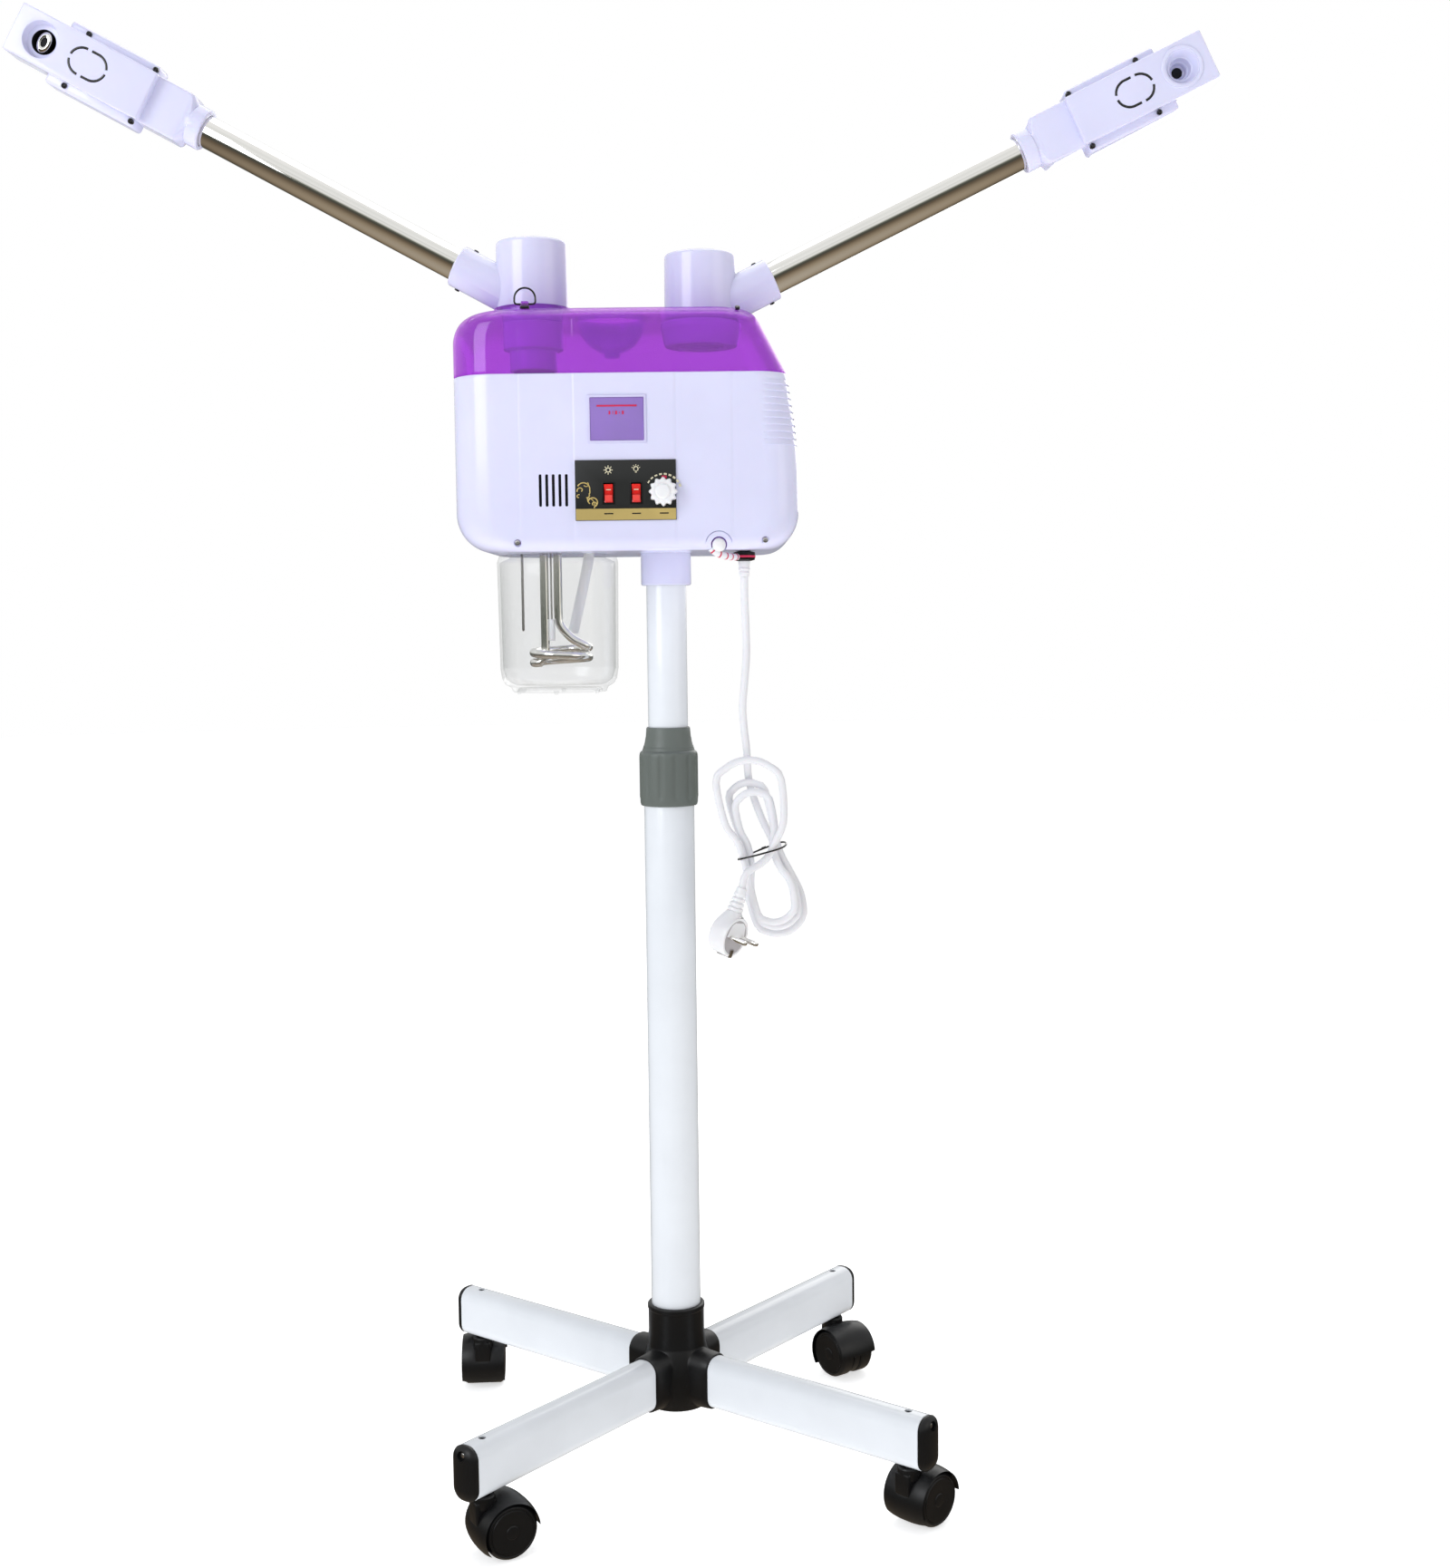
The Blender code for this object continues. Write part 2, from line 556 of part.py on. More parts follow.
def make_casing(finishes, head):
    """Lower casing: a shell with a floor, open at the seam with the lid."""
    rises = [BOTTOM_ROUND * (1 - math.cos(math.radians(18 * k))) for k in range(6)]
    heights = [BODY_BOTTOM + rise for rise in rises] + [0.925, 0.965, BODY_SEAM - GAP]
    inner_rises = [(BOTTOM_ROUND - BODY_WALL) * (1 - math.cos(math.radians(22.5 * k))) for k in range(5)]
    inner_heights = [BODY_BOTTOM + BODY_WALL + rise for rise in inner_rises] + [0.925, 0.965, BODY_SEAM - GAP]
    rings = [body_section(z) for z in heights] + [body_section(z, BODY_WALL) for z in inner_heights[::-1]]
    floor = BODY_BOTTOM + BODY_WALL
    collar = moved(rod(0.0518, floor - 0.001, JAR_NECK_TOP, 28), (JAR_X, 0, 0))
    below, above = BODY_BOTTOM - 0.005, floor + 0.004
    front = -BODY_HALF_DEPTH
    holes = [
        moved(rod(JAR_NECK_RADIUS + 2 * GAP, below, JAR_NECK_TOP + 0.01, 28), (JAR_X, 0, 0)),
        rod(SOCKET_RADIUS + GAP, below, above, 24),
        moved(rod(0.0063, below, above, 20), (GLAND.x, GLAND.y, 0)),
        moved(rod(DRAIN_RADIUS + 2 * GAP, -front - 0.022, -front + 0.01, 16, "Y"), (DRAIN_X, 0, DRAIN_Z)),
        block((WINDOW_X[0] + 0.001, front - 0.01, WINDOW_Z[0] + 0.001),
              (WINDOW_X[1] - 0.001, front + 0.01, WINDOW_Z[1] - 0.001)),
        block((PANEL_X[0] + 0.006, front - 0.01, PANEL_Z[0] + 0.006),
              (PANEL_X[1] - 0.001, front + 0.01, PANEL_Z[1] - 0.006)),
    ]
    for k in range(VENT_COUNT):
        x = VENT_X + VENT_PITCH * k
        holes.append(block((x - 0.0013, front - 0.01, VENT_Z[0]), (x + 0.0013, front + 0.01, VENT_Z[1])))
    place("casing", combined(lofted(rings), [collar], holes, "MANIFOLD"), finishes["lilac_plastic"], head)


def make_lid(finishes, head):
    """Clear lid with the left arm's neck ring, the right arm's hole and the filling hole."""
    heights = [BODY_SEAM + GAP, 1.027, 1.042] + [
        BODY_TOP - TOP_ROUND * (1 - math.sin(math.radians(a))) for a in (20, 40, 57, 74, 90)]
    inner_top = BODY_TOP - BODY_WALL
    inner_heights = [BODY_SEAM + GAP, 1.027, 1.042] + [
        inner_top - (TOP_ROUND - BODY_WALL) * (1 - math.sin(math.radians(a))) for a in (22, 44, 66, 90)]
    outer = [body_section(z) for z in heights[::-1]]
    inner = [body_section(z, BODY_WALL) for z in inner_heights]
    shell = lofted(outer + inner)
    left, right = ARMS["left"]["x"], ARMS["right"]["x"]
    ring = moved(rod(NECK_RING_RADIUS, inner_top + 0.001, NECK_RING_TOP, 28), (left, 0, 0))
    lug = block((left - 0.0035, RING_LUG_Y - 0.0035, inner_top + 0.001),
                (left + 0.0035, RING_LUG_Y + 0.0035, BODY_TOP + RING_LUG_RISE + 0.0027))
    bore = ARMS["left"]["spigot"] + 2 * GAP
    holes = [
        moved(rod(bore, inner_top - 0.01, NECK_RING_TOP + 0.01, 24), (left, 0, 0)),
        moved(rod(bore, inner_top - 0.01, BODY_TOP + 0.01, 24), (right, 0, 0)),
        moved(rod(BOWL_RADIUS + 2 * GAP, inner_top - 0.01, BODY_TOP + 0.01, 20), (BOWL_X, 0, 0)),
        moved(rod(0.0014, -0.01, 0.01, 12, "X"), (left, RING_LUG_Y, BODY_TOP + RING_LUG_RISE)),
    ]
    place("lid", combined(shell, [ring, lug], holes, "MANIFOLD"), finishes["purple_clear"], head)


def make_neck_bail(finishes, head):
    """D-shaped wire ring that hangs in the lug in front of the left arm."""
    pivot = empty("neck_bail_pivot", head, (ARMS["left"]["x"], RING_LUG_Y, BODY_TOP + RING_LUG_RISE))
    wire, width, height = 0.0009, 0.0095, 0.0145
    corner = 0.0025
    points = [Vector((-width + corner, 0, 0)), Vector((0, 0, 0)), Vector((width - corner, 0, 0))]
    points += [Vector((width - corner * (1 - math.sin(a)), 0, corner * (1 - math.cos(a))))
               for a in (math.radians(30 * k) for k in (1, 2, 3))]
    points += [Vector((width * math.cos(a), 0, height - width + width * math.sin(a)))
               for a in (math.radians(20 * k) for k in range(10))]
    points += [Vector((-width + corner * (1 - math.sin(a)), 0, corner * (1 - math.cos(a))))
               for a in (math.radians(30 * k) for k in (3, 2, 1))]
    place_tube("neck_bail", points, wire, finishes["black_plastic"], pivot, cyclic=True)


def make_jar_group(finishes, head):
    """Clear jar on a turning thread, and the boiler head that closes it with its heater and probe."""
    jar = turned([
        (0, JAR_BOTTOM + 0.004), (0.040, JAR_BOTTOM + 0.004), (0.041, JAR_BOTTOM), (0.0445, JAR_BOTTOM),
        (0.046, JAR_BOTTOM + 0.0045), (0.0515, JAR_BOTTOM + 0.0075), (0.0548, JAR_BOTTOM + 0.013),
        (JAR_RADIUS - 0.0015, JAR_BOTTOM + 0.022), (JAR_RADIUS, BODY_BOTTOM - 0.006),
        (JAR_RADIUS - 0.002, BODY_BOTTOM - 2 * GAP), (JAR_NECK_RADIUS, BODY_BOTTOM - 2 * GAP),
        (JAR_NECK_RADIUS, JAR_NECK_TOP), (JAR_NECK_RADIUS - 0.0025, JAR_NECK_TOP),
        (JAR_NECK_RADIUS - 0.0025, BODY_BOTTOM - 0.003), (JAR_RADIUS - 0.0025, BODY_BOTTOM - 0.007),
        (JAR_RADIUS - 0.004, JAR_BOTTOM + 0.022), (0.0505, JAR_BOTTOM + 0.012), (0.043, JAR_BOTTOM + 0.0068),
        (0, JAR_BOTTOM + 0.0068),
    ], 28)
    place("jar", jar, finishes["clear_glass"], head, (JAR_X, 0, 0))

    bottom = JAR_NECK_TOP + GAP
    disc = moved(rod(BOILER_RADIUS, bottom, BOILER_TOP, 28), (JAR_X, 0, 0))
    column_x = ARMS["left"]["x"]
    outlet = moved(rod(0.0155, BOILER_TOP - 0.001, STEAM_PIPE_TOP, 20), (column_x, 0, 0))
    steam_bore = moved(rod(0.0125, bottom - 0.01, STEAM_PIPE_TOP + 0.01, 20), (column_x, 0, 0))
    riser_bores = [
        moved(rod(COIL_WIRE + GAP, bottom - 0.01, BOILER_TOP + 0.01, 12),
              (COIL_CENTRE[0] + x, COIL_CENTRE[1] + RISER_Y, 0)) for x in (RISER_LEFT, RISER_RIGHT)]
    hose_bore = moved(rod(HOSE_RADIUS + 2 * GAP, bottom - 0.01, BOILER_TOP + 0.01, 12), (*HOSE, 0))
    probe_bore = moved(rod(0.0017, bottom - 0.01, BOILER_TOP + 0.01, 12), (*PROBE, 0))
    cover = combined(disc, [outlet], [steam_bore, hose_bore, probe_bore] + riser_bores, "MANIFOLD")
    place("boiler_head", cover, finishes["nylon"], head)

    turns = []
    for k in range(25):
        angle = math.radians(22.5 * k)
        fall = COIL_PITCH * angle / math.tau
        turns.append(Vector((COIL_RADIUS * math.cos(angle), COIL_RADIUS * math.sin(angle), COIL_TOP - fall)))
    low = turns[-1].z
    down = [(RISER_RIGHT, RISER_Y, BOILER_TOP + 0.002), (RISER_RIGHT, RISER_Y, 0.840),
            (RISER_RIGHT, RISER_Y, 0.798), (RISER_RIGHT + 0.002, RISER_Y, 0.786), (0.010, RISER_Y, 0.7745),
            (0.0190, RISER_Y, 0.7690), (0.0245, -0.0040, 0.7660), tuple(turns[0])]
    back = [tuple(turns[-1]), (-0.0245, -0.0055, low - 0.0002), (-0.0195, -0.0085, low),
            (-0.0155, -0.0075, low + 0.0040)]
    back += [(RISER_LEFT, RISER_Y, z) for z in (low + 0.012, 0.800, 0.840, BOILER_TOP + 0.002)]
    wire = smooth_route(down, 0.012) + turns[1:-1] + smooth_route(back, 0.012)
    centre = empty("coil_centre", head, (*COIL_CENTRE, 0))
    place_tube("heater_coil", wire, COIL_WIRE, finishes["chrome"], centre, 1)
    probe = turned([(0, 0.781), (0.0009, 0.7813), (0.00125, 0.7825), (0.00125, BOILER_TOP + 0.002),
                    (0, BOILER_TOP + 0.002)], 12)
    place("level_probe", probe, finishes["steel"], head, (*PROBE, 0))
    hose = smooth_route([(*HOSE, BOILER_TOP + 0.006), (*HOSE, 0.868), (-0.0735, 0.012, 0.855),
                         (-0.078, 0.0125, 0.832), (-0.084, 0.013, 0.806), (-0.0905, 0.014, 0.779)], 0.012)
    place_tube("feed_hose", hose, HOSE_RADIUS, finishes["white_plastic"], head)


def make_water_parts(finishes, head):
    """Filling bowl in the lid, water tank behind the window, and the drain plug."""
    wall = 0.002
    rim = BODY_TOP + GAP
    arc = [math.radians(a) for a in (20, 40, 58, 76)]
    outer = [(BOWL_RADIUS * math.cos(a), rim - BOWL_RADIUS * math.sin(a)) for a in arc]
    inner = [((BOWL_RADIUS - wall) * math.cos(a), rim - (BOWL_RADIUS - wall) * math.sin(a)) for a in arc]
    spout = rim - BOWL_RADIUS - 0.003
    lip = rim + 0.0018
    profile = [(BOWL_RADIUS + 0.003, lip), (BOWL_RADIUS + 0.003, rim), (BOWL_RADIUS, rim)] + outer
    profile += [(0.0075, spout), (0.0055, spout)] + inner[::-1] + [(BOWL_RADIUS - wall, lip)]
    bowl = turned(profile, 20)
    place("fill_bowl", bowl, finishes["purple_clear"], head, (BOWL_X, 0, 0))
    low, high = (-0.085, -0.084, 0.945), (0.060, 0.075, 1.008)
    tank = block(low, high, 0.005)
    inside = block([v + wall for v in low], (high[0] - wall, high[1] - wall, high[2] + 0.01), 0.003)
    place("water_tank", combined(tank, cut=[inside]), finishes["clear_glass"], head)
    face = BODY_HALF_DEPTH
    plug = turned([(0, -0.006), (DRAIN_RADIUS - 0.001, -0.006), (DRAIN_RADIUS, -0.005), (DRAIN_RADIUS, 0.009),
                   (DRAIN_RADIUS - 0.0012, 0.0118), (DRAIN_RADIUS - 0.0035, 0.0135), (0, 0.014)], 16, "Y")
    place("drain_plug", plug, finishes["white_plastic"], head, (DRAIN_X, -face + 0.012, DRAIN_Z))


def make_front(finishes, head):
    """Window, control panel with its switch housing, rockers and timer knob."""
    front = -BODY_HALF_DEPTH
    pane = block((WINDOW_X[0] + 0.0014, front - 0.0012, WINDOW_Z[0] + 0.0014),
                 (WINDOW_X[1] - 0.0014, front + 0.0014, WINDOW_Z[1] - 0.0014), 0.0006, 1)
    place("tank_window", pane, finishes["purple_clear"], head)
    face = front - 0.0018
    plate = block((PANEL_X[0], face, PANEL_Z[0]), (PANEL_X[1], front - GAP, PANEL_Z[1]), 0.0005, 1)
    housing = block((PANEL_X[0] + 0.0065, front - 0.001, PANEL_Z[0] + 0.0065),
                    (PANEL_X[1] - 0.0015, front + 0.024, PANEL_Z[1] - 0.0065))
    pockets = [moved(rod(0.0034, -0.02, 0.02, 16, "Y"), (KNOB_X, face, KNOB_Z))]
    wide, tall = ROCKER_HALF
    for x in ROCKER_XS.values():
        pockets.append(block((x - wide - GAP, face - 0.01, ROCKER_Z - tall - 0.0008),
                             (x + wide + GAP, front + 0.009, ROCKER_Z + tall + 0.0008)))
    place("control_panel", combined(plate, [housing], pockets), finishes["panel_black"], head)
    tilt = Matrix.Rotation(math.radians(ROCKER_TILT_DEG), 3, "X")
    crown = [(-0.0026, -tall), (-0.0012, -tall * 0.5), (-0.0005, 0), (-0.0012, tall * 0.5), (-0.0026, tall)]
    back = [((tall - 0.0002) * math.sin(a), (tall - 0.0002) * math.cos(a))
            for a in (math.radians(15 + 15 * k) for k in range(11))]
    for name, x in ROCKER_XS.items():
        pivot = empty(name + "_pivot", head, (x, front + 0.0002, ROCKER_Z))
        rocker = moved(extruded(crown + back, -wide + GAP, wide - GAP, "YZ"), turn=tilt)
        place(name, rocker, finishes["switch_red"], pivot)
    pivot = empty("timer_knob_pivot", head, (KNOB_X, face, KNOB_Z))
    rings = []
    skirt = KNOB_RADIUS - 0.0005
    levels = ((skirt, -0.0006, 0.0005), (skirt, -0.0095, 0.0005), (skirt - 0.0017, -0.0115, 0.0004))
    for radius, depth, lobe in levels:
        ring = []
        for k in range(KNOB_LOBES * 2):
            angle = math.pi * k / KNOB_LOBES
            r = radius + lobe * math.cos(KNOB_LOBES * angle)
            ring.append((r * math.cos(angle), depth, r * math.sin(angle)))
        rings.append(ring)
    cap = rod(0.0050, 0.0110, 0.0140, 16, "Y")
    spindle = rod(0.0030, -0.012, 0.004, 12, "Y")
    knob = combined(lofted(rings), [cap, spindle])
    place("timer_knob", knob, finishes["white_plastic"], pivot)


def make_mast_socket(finishes, head):
    """Socket under the casing that drops over the sliding tube."""
    bore = UPPER_TUBE_RADIUS + GAP
    socket = turned([
        (bore, SOCKET_BOTTOM), (SOCKET_RADIUS - 0.001, SOCKET_BOTTOM), (SOCKET_RADIUS, SOCKET_BOTTOM + 0.001),
        (SOCKET_RADIUS, SOCKET_TOP), (0, SOCKET_TOP), (0, UPPER_TUBE_TOP + GAP), (bore, UPPER_TUBE_TOP + GAP),
    ], 24)
    place("mast_socket", socket, finishes["lilac_plastic"], head)


# ---------------------------------------------------------------- arms

def make_arm(side_name, finishes, head):
    """Column, chrome tube and nozzle head of one arm, each on its own pivot."""
    arm = ARMS[side_name]
    swing = empty(side_name + "_arm_swing", head, (arm["x"], 0, 0))
    heading = Matrix.Rotation(math.radians(180 if arm["side"] < 0 else 0), 3, "Z")
    rise = heading @ Matrix.Rotation(math.radians(-arm["pitch"]), 3, "Y")
    line = empty(side_name + "_arm_line", swing, (0, 0, arm["line_z"]), rise)
    start, end = SLEEVE_START, arm["sleeve_end"]
    base, top, spigot = arm["base"], arm["top"], arm["spigot"]
    bottom = arm["spigot_bottom"]
    if arm["flange"]:
        under_lid = BODY_TOP - BODY_WALL - 2 * GAP
        flange = arm["flange"]
        low_part = [(0.020, bottom), (flange - 0.004, bottom), (flange, under_lid - 0.006),
                    (flange, under_lid - 0.002), (flange - 0.002, under_lid), (spigot, under_lid)]
    else:
        low_part = [(0.020, bottom), (0.0225, bottom), (0.0225, bottom + 0.018), (spigot, bottom + 0.020)]
    column = turned(low_part + [
        (spigot, base), (COLUMN_RADIUS, base), (COLUMN_RADIUS - 0.0006, top - 0.004),
        (COLUMN_RADIUS - 0.004, top), (0, top), (0, top - 0.005), (0.020, top - 0.005),
    ], 24)
    place_line = Matrix.Translation((0, 0, arm["line_z"])) @ rise.to_4x4()

    def on_line(mesh):
        mesh.transform(place_line)
        return mesh

    sleeve = on_line(turned([(0, start), (SLEEVE_RADIUS, start), (SLEEVE_RADIUS - 0.0003, end - 0.001),
                             (SLEEVE_RADIUS - 0.0013, end), (0, end)], 24, "X"))
    tube_bore = on_line(rod(ARM_TUBE_RADIUS + GAP, TUBE_START - GAP, end + 0.01, 24, "X"))
    steam_bore = on_line(rod(0.010, 0.015, TUBE_START + 0.005, 16, "X"))
    column = combined(column, [sleeve], [tube_bore, steam_bore], "MANIFOLD")
    place(side_name + "_column", column, finishes["lilac_plastic"], swing)

    tube = pipe(ARM_TUBE_RADIUS, ARM_TUBE_RADIUS - 0.0012, TUBE_START, arm["head"] + TUBE_IN_HEAD, 24, "X")
    place(side_name + "_arm_tube", tube, finishes["chrome"], line)

    twist = empty(side_name + "_head_twist", line, (arm["head"], 0, 0))
    make_nozzle_head(side_name, arm["side"], finishes, twist)


def make_nozzle_head(side_name, side, finishes, twist):
    """Faceplate with its neck and tip, rear case, and nozzle; side is +1 where local -Y is the front."""
    def facing(mesh):
        if side < 0:
            mesh.transform(Matrix.Rotation(math.radians(180), 4, "Z"))
        mesh.transform(Matrix.Translation((NOZZLE_X, 0, 0)))
        return mesh

    collar = turned([(0, 0), (SLEEVE_RADIUS - 0.001, 0), (SLEEVE_RADIUS, 0.001), (SLEEVE_RADIUS, HEAD_COLLAR),
                     (SLEEVE_RADIUS - 0.003, HEAD_COLLAR + 0.004), (0, HEAD_COLLAR + 0.004)], 24, "X")
    neck = HEAD_NECK_HALF_DEPTH
    outline = [
        (HEAD_COLLAR, -neck), (HEAD_NECK_END - 0.004, -neck), (HEAD_NECK_END - 0.004, -PLATE_FRONT),
        (HEAD_LENGTH, -PLATE_FRONT), (HEAD_LENGTH, TIP_BACK), (CASE_END + GAP, TIP_BACK),
        (CASE_END + GAP, -PLATE_BACK), (HEAD_NECK_END, -PLATE_BACK), (HEAD_NECK_END, neck),
        (HEAD_COLLAR, neck),
    ]
    body = extruded([(x, side * y) for x, y in outline], -HEAD_HALF_HEIGHT, HEAD_HALF_HEIGHT)
    bores = [
        rod(ARM_TUBE_RADIUS + GAP, -0.01, TUBE_IN_HEAD + GAP, 24, "X"),
        rod(STEAM_WAY, 0.01, HEAD_NECK_END + 0.01, 16, "X"),
        facing(rod(0.0165, PLATE_FRONT - 0.009, PLATE_FRONT + 0.01, 24, "Y")),
        facing(rod(0.0115, 0.001, PLATE_FRONT + 0.01, 24, "Y")),
    ]
    lilac = finishes["lilac_plastic"]
    place(side_name + "_head_plate", combined(body, [collar], bores, "MANIFOLD"), lilac, twist)
    depths = sorted((-side * (PLATE_BACK - GAP), side * CASE_BACK))
    case_low = (HEAD_NECK_END + GAP, depths[0], -CASE_HALF_HEIGHT)
    case_high = (CASE_END, depths[1], CASE_HALF_HEIGHT)
    case = block(case_low, case_high, 0.0025)
    hollow = block([v + 0.002 for v in case_low], [v - 0.002 for v in case_high])
    inlet = rod(STEAM_WAY, HEAD_NECK_END - 0.01, HEAD_NECK_END + 0.01, 16, "X")
    place(side_name + "_head_case", combined(case, cut=[hollow, inlet]), lilac, twist)
    nozzle, material = (oval_nozzle(), "chrome") if side < 0 else (stepped_nozzle(), "lilac_plastic")
    place(side_name + "_nozzle", facing(nozzle), finishes[material], twist)


def oval_nozzle():
    """Chromed oval nozzle with a round jet hole."""
    nozzle = turned([(0.0035, 0.0015), (0.0105, 0.0015), (0.0105, 0.0170), (0.0095, 0.0185), (0.0045, 0.0190),
                     (0.0040, 0.0180)], 20, "Y")
    nozzle.transform(Matrix.Diagonal((0.66, 1.0, 1.0, 1.0)))
    return nozzle


def stepped_nozzle():
    """Moulded nozzle whose mouth steps in to its jet hole."""
    seat, lip = PLATE_FRONT - 0.0087, PLATE_FRONT - 0.0005
    return turned([
        (0.0042, 0.0015), (0.0111, 0.0015), (0.0111, seat), (0.0161, seat), (0.0161, lip), (0.0145, lip),
        (0.0112, 0.0200), (0.0100, 0.0195), (0.0085, 0.0120), (0.0070, 0.0115), (0.0060, 0.0065),
        (0.0050, 0.0060),
    ], 20, "Y")


# ---------------------------------------------------------------- mains cord

def make_cord(finishes, head):
    """Gland, hanging lead, tied hank and plug."""
    floor = BODY_BOTTOM - GAP
    gland = turned([
        (0, GLAND.z), (0.0046, GLAND.z), (0.0052, GLAND.z + 0.004), (0.0064, 0.8440), (0.0098, 0.8448),
        (0.0102, 0.8460), (0.0102, floor - 0.001), (0.0098, floor), (0.0058, floor), (0.0058, 0.862),
        (0, 0.862),
    ], 20)
    place("cord_gland", gland, finishes["black_plastic"], head, (GLAND.x, GLAND.y, 0))
    place_tube("cord_lead", smooth_route(CORD_ROUTE, 0.010), CORD_RADIUS, finishes["white_plastic"], head)
    lean = math.atan2(HANK_LOW[1] - HANK_TOP[1], HANK_LOW[0] - HANK_TOP[0])
    outline = []
    for centre, start in ((HANK_TOP, lean + math.radians(90)), (HANK_LOW, lean - math.radians(90))):
        for k in range(13):
            angle = start + math.pi * k / 12
            across, up = HANK_RADIUS * math.cos(angle), HANK_RADIUS * math.sin(angle)
            outline.append((centre[0] + across, centre[1] + up))
    place("cord_hank", extruded(outline, *HANK_Y, "XZ"), finishes["white_plastic"], head)
    tail = empty("plug_tail", head, PLUG_TAIL, Matrix.Rotation(math.radians(PLUG_LEAN_DEG), 3, "Y"))
    relief = turned([(0, 0), (0.0043, 0), (0.0052, -0.004), (0.0075, -0.024), (0, -0.024)], 16)
    profile = [(0, -0.012), (0.0150, -0.012), (0.0182, -0.009), (0.0190, 0.006), (0.0190, 0.010), (0, 0.010)]
    body = moved(turned(profile, 24, "X"), (0, 0, -0.045))
    neck = block((-0.0085, -0.0085, -0.040), (0.0085, 0.0085, -0.022), 0.003)
    pin = [(0, 0.009), (0.0024, 0.009), (0.0024, 0.0275), (0.0014, 0.0290), (0, 0.0290)]
    pins = [moved(turned(pin, 12, "X"), (0, y, -0.045)) for y in (-0.0095, 0.0095)]
    stub = moved(rod(CORD_RADIUS, PLUG_TAIL.y - HANK_Y[0] + GAP, 0, 16, "Y"), (0, 0, -0.004))
    facing = Matrix.Rotation(math.radians(PLUG_TURN_DEG), 3, "Z")
    turned_parts = [moved(part, turn=facing) for part in [body, neck] + pins]
    plug = combined(turned_parts[0], turned_parts[1:] + [relief, stub])
    place("plug", plug, finishes["white_plastic"], tail)


# ---------------------------------------------------------------- assembly

def centre_on_origin(root):
    """Stand the middle of the outline, cord left out, on the origin."""
    bpy.context.view_layer.update()
    depsgraph = bpy.context.evaluated_depsgraph_get()
    corners = []
    for part in bpy.context.scene.objects:
        if part.type == "EMPTY" or part.name in CORD_NODES:
            continue
        view = part.evaluated_get(depsgraph)
        shape = view.to_mesh()
        corners += [view.matrix_world @ vertex.co for vertex in shape.vertices]
        view.to_mesh_clear()
    middle = [(min(c[k] for c in corners) + max(c[k] for c in corners)) / 2 for k in (0, 1)]
    root.location = (-middle[0], -middle[1], -min(c.z for c in corners))
    bpy.context.view_layer.update()


def main():
    for old in list(bpy.data.objects):
        bpy.data.objects.remove(old)
    finishes = make_finishes()
    root = empty("stand_root")
    make_hub(finishes, root)
    make_legs(finishes, root)
    lifted = empty("mast_lift", root, (0, 0, MAST_LIFT))
    make_mast(finishes, root, lifted)
    head = empty("head_swivel", lifted)
    make_mast_socket(finishes, head)
    make_casing(finishes, head)
    make_lid(finishes, head)
    make_neck_bail(finishes, head)
    make_jar_group(finishes, head)
    make_water_parts(finishes, head)
    make_front(finishes, head)
    for side_name in ARMS:
        make_arm(side_name, finishes, head)
    make_cord(finishes, head)
    centre_on_origin(root)


main()
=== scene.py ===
"""Looks of the facial steamer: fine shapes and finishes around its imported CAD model.

Metres, +Z up, controls on -Y. Shapes are drawn from the mast's axis and the floor, as the CAD is; FLOOR_HOME
moves the base to the mast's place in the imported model, and HOME also lifts the collar and all above it.
Pieces that repeat a CAD node replace it.
"""
import math
import bmesh
import bpy
from mathutils import Matrix, Vector


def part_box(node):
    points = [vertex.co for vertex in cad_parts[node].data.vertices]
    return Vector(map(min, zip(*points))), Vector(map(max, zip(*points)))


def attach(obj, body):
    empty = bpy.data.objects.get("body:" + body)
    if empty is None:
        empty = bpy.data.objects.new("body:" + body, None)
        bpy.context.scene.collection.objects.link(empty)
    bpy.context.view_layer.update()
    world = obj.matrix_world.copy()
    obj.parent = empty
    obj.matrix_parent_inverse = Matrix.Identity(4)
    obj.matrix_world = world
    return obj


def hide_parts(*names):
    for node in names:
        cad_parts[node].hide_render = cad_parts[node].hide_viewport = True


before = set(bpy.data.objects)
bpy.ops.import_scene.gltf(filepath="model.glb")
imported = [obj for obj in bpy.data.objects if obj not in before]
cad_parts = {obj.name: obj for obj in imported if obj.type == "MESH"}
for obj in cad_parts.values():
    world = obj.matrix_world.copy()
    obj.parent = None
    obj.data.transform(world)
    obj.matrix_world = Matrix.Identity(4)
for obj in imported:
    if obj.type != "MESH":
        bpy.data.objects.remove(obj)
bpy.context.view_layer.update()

MAST_LOW, MAST_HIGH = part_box("lower_tube")
FLOOR_HOME = Matrix.Translation(((MAST_LOW.x + MAST_HIGH.x) / 2, 0, 0))
MAST_LIFT = 0.03
HOME = FLOOR_HOME @ Matrix.Translation((0, 0, MAST_LIFT))
SHARP_DEG = 38.0
CARVED_SHARP_DEG = 32.0


# ---------------------------------------------------------------- shapes

def mesh_of(bm):
    """Finish a bmesh: weld it, face it outwards and shade it smooth with sharp edges kept."""
    bmesh.ops.remove_doubles(bm, verts=bm.verts, dist=2e-6)
    bmesh.ops.recalc_face_normals(bm, faces=bm.faces)
    mesh = bpy.data.meshes.new("shape")
    bm.to_mesh(mesh)
    bm.free()
    return shaded(mesh, SHARP_DEG)


def shaded(mesh, sharp_deg):
    """Smooth shading that breaks at sharp edges."""
    mesh.shade_smooth()
    mesh.set_sharp_from_angle(angle=math.radians(sharp_deg))
    return mesh


